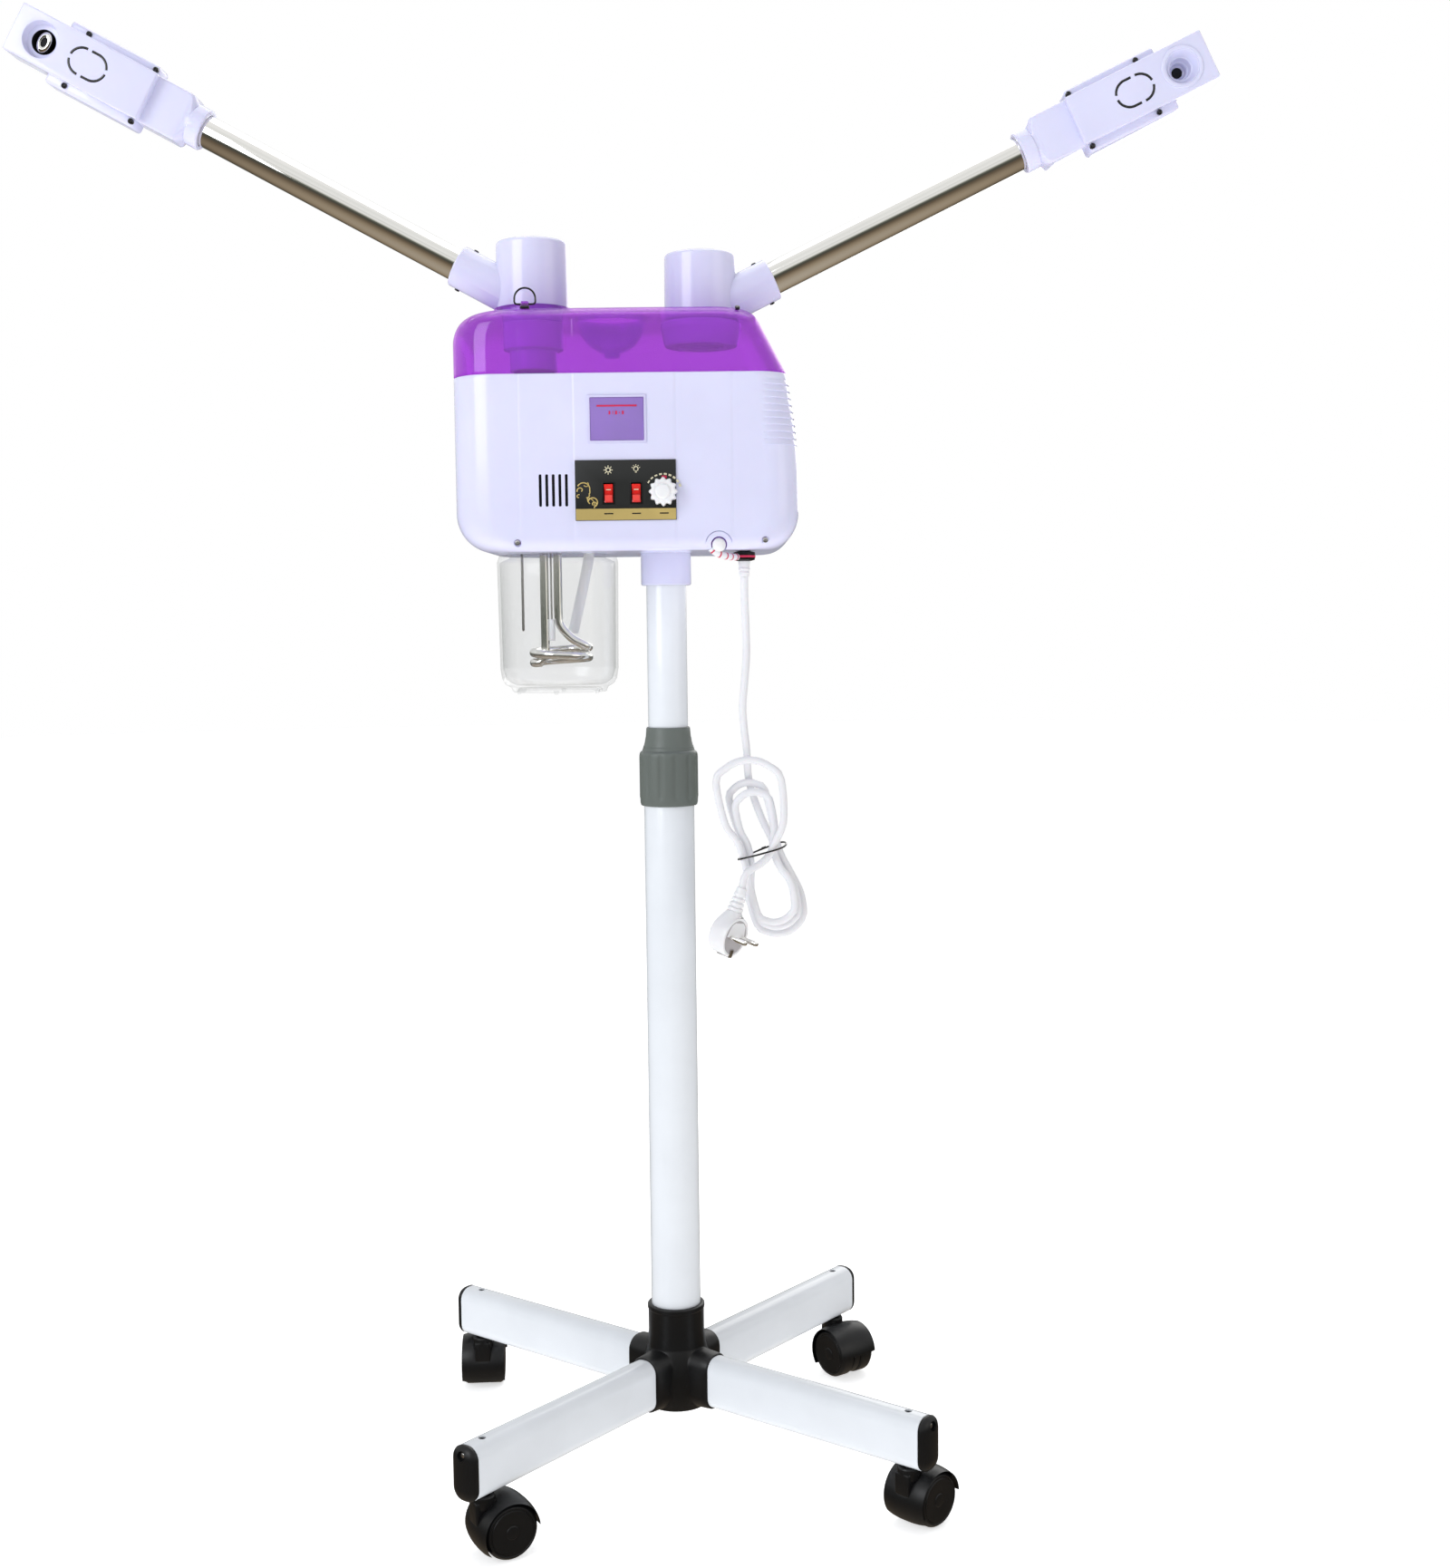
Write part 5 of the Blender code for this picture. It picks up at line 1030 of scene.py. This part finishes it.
def make_water_parts():
    """Filling bowl, tank and the drain plug; the tank's level float is drawn with the window."""
    rim, wall, radius = 1.0723, 0.002, 0.032
    arc = [math.radians(6 + 5 * k) for k in range(15)]
    outer = [(radius * math.cos(a), rim - radius * math.sin(a)) for a in arc]
    inner = [((radius - wall) * math.cos(a), rim - (radius - wall) * math.sin(a)) for a in arc]
    spout = rim - radius - 0.003
    bowl = turned([(radius + 0.003, rim + 0.0018, 0.0006), (radius + 0.003, rim, 0.0004),
                   (radius, rim)] + outer
                  + [(0.0075, spout, 0.0005), (0.0055, spout, 0.0005)] + inner[::-1]
                  + [(radius - wall, rim + 0.0018, 0.0006)], 96)
    fine("fill_bowl", bowl, PURPLE, "head", at(BOWL_X, 0, 0))
    tank = block((-0.085, -0.084, 0.945), (0.06, 0.075, 1.008), 0.005, 4)
    inside = block((-0.083, -0.082, 0.947), (0.058, 0.073, 1.018), 0.003)
    fine("water_tank", carved(tank, cut=[inside], edge=0.0005), CLEAR, "head")
    plug = turned([(0, -0.006), (0.0062, -0.006, 0.0004), (0.0062, 0.0095, 0.001), (0.0052, 0.012, 0.0015),
                   (0.0028, 0.0138, 0.001), (0, 0.0142)], 64, "Y")
    fine("drain_plug", plug, WHITE, "drain", at(DRAIN_X, FRONT + 0.012, DRAIN_Z))


def ribbon(points, radius, squeeze=0.35):
    """A raised printed stroke: a thin bar pressed flat towards the panel it lies on."""
    curve = wire([(x, 0, z) for x, z in points], radius, 3)
    holder = bpy.data.objects.new("work_stroke", curve)
    bpy.context.scene.collection.objects.link(holder)
    bpy.context.view_layer.update()
    view = holder.evaluated_get(bpy.context.evaluated_depsgraph_get())
    mesh = bpy.data.meshes.new_from_object(view)
    bpy.data.objects.remove(holder)
    mesh.transform(Matrix.Diagonal((1, squeeze, 1, 1)))
    return mesh


def arc_points(x, z, radius, start, stop, steps=24, end_radius=None):
    """Points of a circular or spiral arc in the XZ plane."""
    end_radius = radius if end_radius is None else end_radius
    points = []
    for k in range(steps + 1):
        share = k / steps
        angle = math.radians(start + (stop - start) * share)
        r = radius + (end_radius - radius) * share
        points.append((x + r * math.cos(angle), z + r * math.sin(angle)))
    return points


def rays(x, z, angles, reaches, width):
    """Short printed strokes that point away from a centre."""
    return [ribbon([(x + r * math.cos(a), z + r * math.sin(a)) for r in reaches], width)
            for a in map(math.radians, angles)]


def make_panel_print(face):
    """Gold strip and scroll, two icons and the dial's marks on the control panel."""
    low_x, high_x = PANEL_X
    strip = block((low_x + 0.0004, face - 0.00025, PANEL_Z[0] + 0.0004),
                  (high_x - 0.0004, face + 0.0004, 0.8905),
                  0.0001, 1)
    detail("panel_gold_strip", strip, GOLD, "head")
    marks = [block((x - 0.004, face - 0.0004, 0.8855), (x + 0.004, face, 0.8866))
             for x in (-0.048, -0.023, 0.002)]
    detail("panel_small_marks", merged(*marks), BLACK_GLOSS, "head")
    x = low_x + 0.0095
    long_curl = arc_points(x - 0.002, 0.908, 0.0058, 150, 10, 20)
    long_curl += arc_points(x + 0.006, 0.9032, 0.0028, 140, 205, 8)
    long_curl += arc_points(x + 0.0085, 0.9, 0.007, 180, 225, 8)
    strokes = [ribbon(long_curl, 0.00055)]
    strokes += [ribbon(arc_points(x + across, *arc), width) for across, width, arc in (
        (-0.0045, 0.0005, (0.907, 0.0034, 200, -60, 24, 0.0008)),
        (0.0065, 0.0006, (0.896, 0.0046, 170, -60, 28, 0.0038)),
        (0.0072, 0.0005, (0.8945, 0.0028, -30, 250, 24, 0.0007)),
        (0.001, 0.00045, (0.8935, 0.007, 95, -20, 20)),
        (-0.0065, 0.0004, (0.9015, 0.002, 60, 300, 18, 0.0006)),
        (0.001, 0.0004, (0.913, 0.003, -150, 60, 18, 0.001)))]
    for k, stroke in enumerate(strokes):
        detail("panel_scroll_" + str(k + 1), stroke, GOLD, "head", at(0, face - 0.0001, 0))
    (_, steam_x), (_, ozone_x) = ROCKERS
    icon_z, bulb_z = 0.925, 0.9258
    sun = [ribbon(arc_points(steam_x, icon_z, 0.0019, 0, 360, 32), 0.00042)]
    sun += rays(steam_x, icon_z, range(0, 360, 45), (0.0026, 0.0034, 0.0041), 0.00034)
    bulb = [ribbon(arc_points(ozone_x, bulb_z, 0.002, -50, 230, 26), 0.0004)]
    bulb += [ribbon([(ozone_x - half, low), (ozone_x, low - 0.0001), (ozone_x + half, low)], 0.0003)
             for half, low in ((0.001, icon_z - 0.0012), (0.0008, icon_z - 0.0022))]
    bulb += rays(ozone_x, bulb_z, range(20, 161, 35), (0.0029, 0.0034, 0.004), 0.00028)
    detail("panel_icon_steam", merged(*sun), CREAM, "head", at(0, face - 0.0001, 0))
    detail("panel_icon_ozone", merged(*bulb), CREAM, "head", at(0, face - 0.0001, 0))
    dashes = []
    for k in range(9):
        start = 150 - 15.5 * k
        dashes.append(ribbon(arc_points(KNOB_X, KNOB_Z, 0.016, start, start - 9.5, 5), 0.00062 + 0.00006 * k))
    detail("dial_marks", merged(*dashes), CREAM, "head", at(0, face - 0.0001, 0))
    tag = block((0.0, face - 0.0003, 0.917), (0.0045, face, 0.9195))
    detail("dial_red_mark", tag, RED_PRINT, "head")


def make_front():
    """Window, printed control panel, rocker switches and timer knob."""
    hole = front_block(WINDOW_X, WINDOW_Z, -0.0012, -0.02, 0.02, 0.0008)
    rim = front_block(WINDOW_X, WINDOW_Z, 0.001, -0.0015, -0.0003, 0.0004)
    # The rim's darker lilac is painted shade on the opening's edge.
    detail("window_rim", carved(rim, cut=[hole]), LILAC_SHADED, "head")
    pane = front_block(WINDOW_X, WINDOW_Z, -0.0014, -0.0012, 0.0014, 0.0005)
    fine("tank_window", pane, PURPLE_PANE, "head")
    middle = (WINDOW_X[0] + WINDOW_X[1]) / 2
    line = block((middle - 0.018, FRONT - 0.0015, 0.9814), (middle + 0.018, FRONT - 0.001, 0.9829))
    letters = []
    for k, (wide, low, high) in enumerate((
            (0.0016, 0.9744, 0.9775), (0.0005, 0.9744, 0.9775), (0.0018, 0.9744, 0.9775),
            (0.0005, 0.975, 0.977), (0.0016, 0.9744, 0.9775))):
        x = middle - 0.0065 + 0.003 * k
        letters.append(block((x - wide / 2, FRONT - 0.0015, low), (x + wide / 2, FRONT - 0.001, high)))
    detail("window_level_line", merged(line, *letters), RED_PRINT, "head")
    float_body = turned([(0, 0.952), (0.009, 0.952, 0.002), (0.009, 0.97, 0.002), (0.005, 0.9705),
                         (0.005, 0.976, 0.001), (0, 0.9762)], 48)
    detail("tank_float", float_body, PURPLE_GREY, "head", at(middle, -0.072, 0))

    face = FRONT - 0.0018
    plate = front_block(PANEL_X, PANEL_Z, 0, -0.0018, -0.0003, 0.0004)
    housing = block((PANEL_X[0] + 0.0065, FRONT - 0.001, PANEL_Z[0] + 0.0065),
                    (PANEL_X[1] - 0.0015, FRONT + 0.024, PANEL_Z[1] - 0.0065))
    pockets = [moved(rod(0.0034, -face - 0.03, -face + 0.02, 48, "Y"), (KNOB_X, 0, KNOB_Z))]
    for _, x in ROCKERS:
        pockets.append(block((x - 0.0046, face - 0.01, 0.8955), (x + 0.0046, FRONT + 0.009, 0.9135), 0.0004,
                             1))
    fine("control_panel", carved(plate, [housing], pockets), PANEL_BLACK, "head")
    for name, x in ROCKERS:
        outer = block((x - 0.0058, face - 0.0007, 0.8943), (x + 0.0058, face + 0.0004, 0.9147), 0.0004)
        inner = block((x - 0.0046, face - 0.01, 0.8955), (x + 0.0046, face + 0.01, 0.9135), 0.0004, 1)
        detail("rocker_frame_" + name, carved(outer, cut=[inner]), BLACK, "head")
    make_panel_print(face)

    crown = [(-0.003, -0.0082), (-0.0016, -0.0056), (-0.0006, -0.0024), (-0.0005, 0), (-0.0006, 0.0024),
             (-0.0016, 0.0056), (-0.003, 0.0082)]
    back = [(0.008 * math.sin(a),
             0.008 * math.cos(a)) for a in (math.radians(15 + 7.5 * k) for k in range(21))]
    for name, x in ROCKERS:
        rocker = carved(extruded(crown + back, -0.004, 0.004, "YZ"), edge=0.0004)
        place_at = at(x, FRONT + 0.0002, 0.9045, (7.0, "X"))
        fine("rocker_" + name, rocker, RED, name + "_rocker", place_at)
        pale = block((-0.0034, -0.0024, -0.007), (0.0034, -0.0014, -0.0016), 0.0003)
        detail("rocker_lamp_" + name, pale, RED_PALE, name + "_rocker", place_at)
        bar = block((-0.0022, -0.0016, 0.0028), (0.0022, -0.0009, 0.0036), 0.0002)
        detail("rocker_mark_" + name, bar, CREAM, name + "_rocker", place_at)

    rings = []
    for radius, depth, lobe in (
            (0.01, -0.0006, 0.0002), (0.0121, -0.0006, 0.0008), (0.0125, -0.0012, 0.001),
        (0.0123, -0.009, 0.001),
            (0.0117, -0.011, 0.0008), (0.0104, -0.0119, 0.0006), (0.008, -0.0121, 0.0002),
        (0.0072, -0.0118, 0),
            (0.0064, -0.0123, 0), (0.0056, -0.0138, 0), (0.004, -0.0141, 0)):
        ring = []
        for k in range(192):
            angle = math.tau * k / 192
            r = radius + lobe * math.cos(12 * angle) - lobe * 0.4
            ring.append((r * math.cos(angle), depth, r * math.sin(angle)))
        rings.append(ring)
    fine("timer_knob", carved(lofted(rings), [rod(0.003, -0.012, 0.004, 32, "Y")]), WHITE, "knob",
         at(KNOB_X, face, KNOB_Z))


def make_drain_hose():
    """White hose with red stripes that runs under the casing's front edge to the gland."""
    route = smooth_route([(0.0435, -0.086, 0.8545), (0.048, -0.084, 0.8505), (0.056, -0.078, 0.8478),
                          (0.064, -0.068, 0.847), (0.069, -0.06, 0.8475)], 0.0015)
    detail("drain_hose", wire(route, 0.003, 8), CORD_WHITE, "head")
    stripes = []
    for k in range(2, len(route) - 2, 5):
        along = (route[k + 1] - route[k - 1]).normalized()
        ring = pipe(0.00325, 0.0028, -0.0007, 0.0007, 32)
        stripes.append(moved(ring, route[k], along.to_track_quat("Z", "Y").to_matrix()))
    detail("drain_hose_stripes", merged(*stripes), RED_PRINT, "head")


# ---------------------------------------------------------------- arms

ARMS = {
    "left": {"x": LEFT_X, "side": -1, "pitch": 28.5, "line_z": 1.0862, "base": 1.0833, "top": 1.146,
             "flange": None, "bottom": 1.025, "sleeve_end": 0.08, "head": 0.344},
    "right": {"x": RIGHT_X, "side": 1, "pitch": 25.8, "line_z": 1.0759, "base": 1.0723, "top": 1.133,
              "flange": 0.038, "bottom": 1.046, "sleeve_end": 0.0755, "head": 0.3335},
}
SPIGOT_RADIUS = 0.0284
HEAD_HALF_HEIGHT = 0.0232
PLATE_FRONT = 0.028
PLATE_BACK = 0.0165
CASE_END = 0.148
NOZZLE_X = 0.1615


def make_arm(side_name):
    """Column, chrome tube and nozzle head of one arm."""
    arm = ARMS[side_name]
    side, base, top, bottom, spigot = arm["side"], arm["base"], arm["top"], arm["bottom"], SPIGOT_RADIUS
    heading = turn_deg(180 if side < 0 else 0, "Z")
    rise = heading @ turn_deg(-arm["pitch"], "Y")
    line = Matrix.Translation((0, 0, arm["line_z"])) @ rise
    if arm["flange"]:
        flange = arm["flange"]
        low_part = [(0.02, bottom, 0.001), (flange - 0.004, bottom, 0.003), (flange, 1.062, 0.002),
                    (flange, 1.0668, 0.0015), (flange - 0.002, 1.0688), (spigot, 1.0688)]
    else:
        low_part = [(0.02, bottom, 0.0005), (0.0225, bottom, 0.001), (0.0225, bottom + 0.018, 0.001),
                    (spigot, bottom + 0.02, 0.001)]
    column = turned(low_part + [
        (spigot, base), (0.034, base, 0.0006), (0.034, base + 0.02), (0.0336, top - 0.002, 0.004),
        (0.026, top, 0.002), (0, top), (0, top - 0.005), (0.02, top - 0.005)], 144, steps=8)
    end = arm["sleeve_end"]
    sleeve = turned([(0, 0.028), (0.0198, 0.028), (0.0197, end - 0.001, 0.0009), (0.019, end, 0.0008),
                     (0.0158, end, 0.0003), (0.0153, end - 0.001), (0, end - 0.001)], 128, "X")
    tube_bore = rod(0.0153, 0.0502, end + 0.01, 96, "X")
    steam_bore = rod(0.01, 0.015, 0.0555, 64, "X")
    for mesh in (sleeve, tube_bore, steam_bore):
        mesh.transform(line)
    column = carved(column, [sleeve], [tube_bore, steam_bore], edge=0.0006)
    swing = at(arm["x"], 0, 0)
    body = side_name + "_arm"
    fine(side_name + "_column", column, LILAC, body, swing)
    screw = turned([(0, 0.017), (0.0024, 0.017), (0.0024, 0.0208, 0.0006), (0.0012, 0.0211), (0.001, 0.02),
                    (0, 0.02)], 32)
    for name, angle in (("under", 180), ("over", 0)):
        placed = swing @ line @ Matrix.Translation((end - 0.01, 0, 0)) @ turn_deg(angle, "X")
        detail(side_name + "_sleeve_screw_" + name, screw.copy(), BLACK_GLOSS, body, placed)
    tube = pipe(0.015, 0.0138, 0.0505, arm["head"] + 0.022, 128, "X")
    fine(side_name + "_arm_tube", tube, CHROME, body, swing @ line)
    make_nozzle_head(side_name, side, swing @ line @ Matrix.Translation((arm["head"], 0, 0)))


def stadium_dash(half, radius, start, stop):
    """Outline stroke of a stadium, between two distances round it from the middle of its top."""
    curve_length = math.pi * radius
    total = 4 * half + 2 * curve_length
    points = []
    for k in range(25):
        walked = (start + (stop - start) * k / 24) % total
        if walked < half:
            point = (walked, radius)
        elif walked < half + curve_length:
            angle = math.pi / 2 - (walked - half) / radius
            point = (half + radius * math.cos(angle), radius * math.sin(angle))
        elif walked < 3 * half + curve_length:
            point = (half - (walked - half - curve_length), -radius)
        elif walked < 3 * half + 2 * curve_length:
            angle = -math.pi / 2 - (walked - 3 * half - curve_length) / radius
            point = (-half + radius * math.cos(angle), radius * math.sin(angle))
        else:
            point = (-half + (walked - 3 * half - 2 * curve_length), radius)
        points.append(point)
    return points


def make_nozzle_head(side_name, side, matrix):
    """Faceplate with neck and collar, rear case, vent slots drawn as dark strokes of painted shade, screws
    and nozzle of one arm's head, with painted shade in the nozzle's openings.
    """
    body = side_name + "_head"

    def facing(mesh, x=NOZZLE_X, z=0.0):
        if side < 0:
            mesh.transform(turn_deg(180, "Z"))
        mesh.transform(Matrix.Translation((x, 0, z)))
        return mesh

    def ring_at(x, half_y, half_z, corner):
        outline = rounded_rectangle((-half_y, -half_z), (half_y, half_z), [corner] * 4, 12)
        return [(x, y, z) for y, z in outline]

    collar = turned([(0, 0), (0.0186, 0, 0.0006), (0.0195, 0.0012, 0.0008), (0.0195, 0.0125, 0.0008),
                     (0.018, 0.014), (0.017, 0.02), (0, 0.02)], 128, "X")
    neck = lofted([ring_at(*values) for values in (
        (0.01, 0.0165, 0.0165, 0.016), (0.013, 0.0168, 0.0175, 0.015), (0.0155, 0.0172, 0.0198, 0.011),
        (0.0175, 0.0177, 0.0222, 0.006), (0.02, 0.018, 0.0231, 0.0032), (0.024, 0.018, 0.0232, 0.0024),
        (0.0545, 0.018, 0.0232, 0.0024), (0.057, 0.018, 0.0232, 0.0024))])
    outline = [(0.053, -PLATE_FRONT), (0.19, -PLATE_FRONT), (0.19, 0.012), (CASE_END + 0.0003, 0.012),
               (CASE_END + 0.0003, -PLATE_BACK), (0.053, -PLATE_BACK)]
    plate = carved(extruded([(x, side * y) for x, y in outline], -HEAD_HALF_HEIGHT, HEAD_HALF_HEIGHT),
                   edge=0.0016,
                   edge_steps=4)
    bores = [
        rod(0.0153, -0.01, 0.0223, 96, "X"), rod(0.008, 0.01, 0.075, 64, "X"),
        facing(turned([(0, PLATE_FRONT - 0.009), (0.0158, PLATE_FRONT - 0.009, 0.0008),
                       (0.0165, PLATE_FRONT - 0.002), (0.0172, PLATE_FRONT + 0.0004),
                       (0.018, PLATE_FRONT + 0.01), (0, PLATE_FRONT + 0.01)],
                      128, "Y")),
        facing(rod(0.0115, 0.001, PLATE_FRONT + 0.01, 96, "Y")),
    ]
    face = carved(plate, [neck, collar], bores)
    fine(side_name + "_head_plate", face, LILAC, body, matrix)
    depths = sorted((-side * (PLATE_BACK - 0.0003), side * 0.014))
    case_low, case_high = (0.0573, depths[0], -0.031), (CASE_END, depths[1], 0.031)
    case = block(case_low, case_high, 0.0034, 4)
    hollow = block([v + 0.002 for v in case_low], [v - 0.002 for v in case_high], 0.002)
    inlet = rod(0.008, 0.047, 0.067, 64, "X")
    fine(side_name + "_head_case", carved(case, cut=[hollow, inlet]), LILAC, body, matrix)

    # The vent slots are not cut: dark strokes on the faceplate stand for them, painted shade in place of open
    # slots.
    dashes = []
    half, radius = 0.0055, 0.0125
    total = 4 * half + math.tau * radius
    gaps = (0.0033, half + math.pi * radius / 2 + 0.0005, 2 * half + math.pi * radius - 0.003,
            3 * half + 1.5 * math.pi * radius + 0.0012)
    for k, gap in enumerate(gaps):
        stop = gaps[(k + 1) % 4] + (total if k == 3 else 0)
        stroke = ribbon(stadium_dash(half, radius, gap + 0.0021, stop - 0.0021), 0.0012, 0.3)
        dashes.append(moved(stroke, (0.1135, -side * PLATE_FRONT, 0)))
    detail(side_name + "_vent_slot_shade", merged(*dashes), BLACK_GLOSS, body, matrix)
    screw = turned([(0, 0.0145), (0.0026, 0.0145), (0.0026, 0.0182, 0.0007), (0.0012, 0.0187),
                    (0.001, 0.0176), (0, 0.0176)], 32, "Y")
    screws = [facing(screw.copy(), x, z) for x in (0.06, 0.1286) for z in (-0.0262, 0.0262)]
    detail(side_name + "_head_screws", merged(*screws), BLACK_GLOSS, body, matrix)
    if side < 0:
        nozzle = turned([(0.0036, 0.0015), (0.0105, 0.0015), (0.0108, 0.0165, 0.0015),
                         (0.0098, 0.0185, 0.0012), (0.007, 0.0194, 0.001), (0.0047, 0.019, 0.0006),
                         (0.0042, 0.0178)], 96, "Y")
        nozzle.transform(Matrix.Diagonal((0.64, 1.0, 1.0, 1.0)))
        fine("left_nozzle", facing(nozzle), CHROME, body, matrix)
        # Painted shade: a dark plug in the jet, a dark lining on the recess wall and a dark disc on its
        # floor, where the recess is in shade.
        jet_shade = facing(rod(0.0037, 0.01, 0.0181, 48, "Y"))
        well_shade = facing(pipe(0.0114, 0.0109, 0.003, 0.0186, 96, "Y"))
        detail("left_nozzle_jet_shade", jet_shade, PAINTED_SHADE, body, matrix)
        detail("left_nozzle_well_shade", well_shade, PAINTED_SHADE, body, matrix)
        floor = facing(turned([(0, 0.002), (0.0112, 0.002), (0.0112, 0.0034), (0, 0.0034)], 96, "Y"))
        detail("left_nozzle_floor_shade", floor, PAINTED_SHADE, body, matrix)
    else:
        seat, lip = PLATE_FRONT - 0.0087, PLATE_FRONT + 0.0004
        nozzle = turned([
            (0.0042, 0.0015), (0.0111, 0.0015), (0.0111, seat), (0.0157, seat),
            (0.0157, PLATE_FRONT - 0.003), (0.0163, PLATE_FRONT - 0.0004), (0.016, lip, 0.0004),
            (0.015, lip, 0.0005), (0.0133, 0.0248, 0.001), (0.0112, 0.02, 0.0006), (0.01, 0.0198, 0.0004),
            (0.0092, 0.0122, 0.0005), (0.0076, 0.0118, 0.0004), (0.0066, 0.0068, 0.0004),
            (0.005, 0.0062, 0.0004)], 128, "Y")
        fine("right_nozzle", facing(nozzle), LILAC, body, matrix)
        # Painted shade: a dark plug in the nozzle's jet hole.
        detail("right_nozzle_jet_shade", facing(rod(0.0046, 0.0008, 0.0066, 48, "Y")), PAINTED_SHADE, body, matrix)
        lip_ring = facing(turned([(0.0158, PLATE_FRONT - 0.0004), (0.0196, PLATE_FRONT - 0.0004),
                                  (0.019, PLATE_FRONT + 0.0014, 0.0008),
                                  (0.016, PLATE_FRONT + 0.0014, 0.0008)],
                                 128, "Y"))
        detail("right_nozzle_lip", lip_ring, LILAC, body, matrix)


make_cord()
make_base()
make_mast()
make_casing()
make_lid()
make_jar()
make_water_parts()
make_front()
make_drain_hose()
make_arm("left")
make_arm("right")
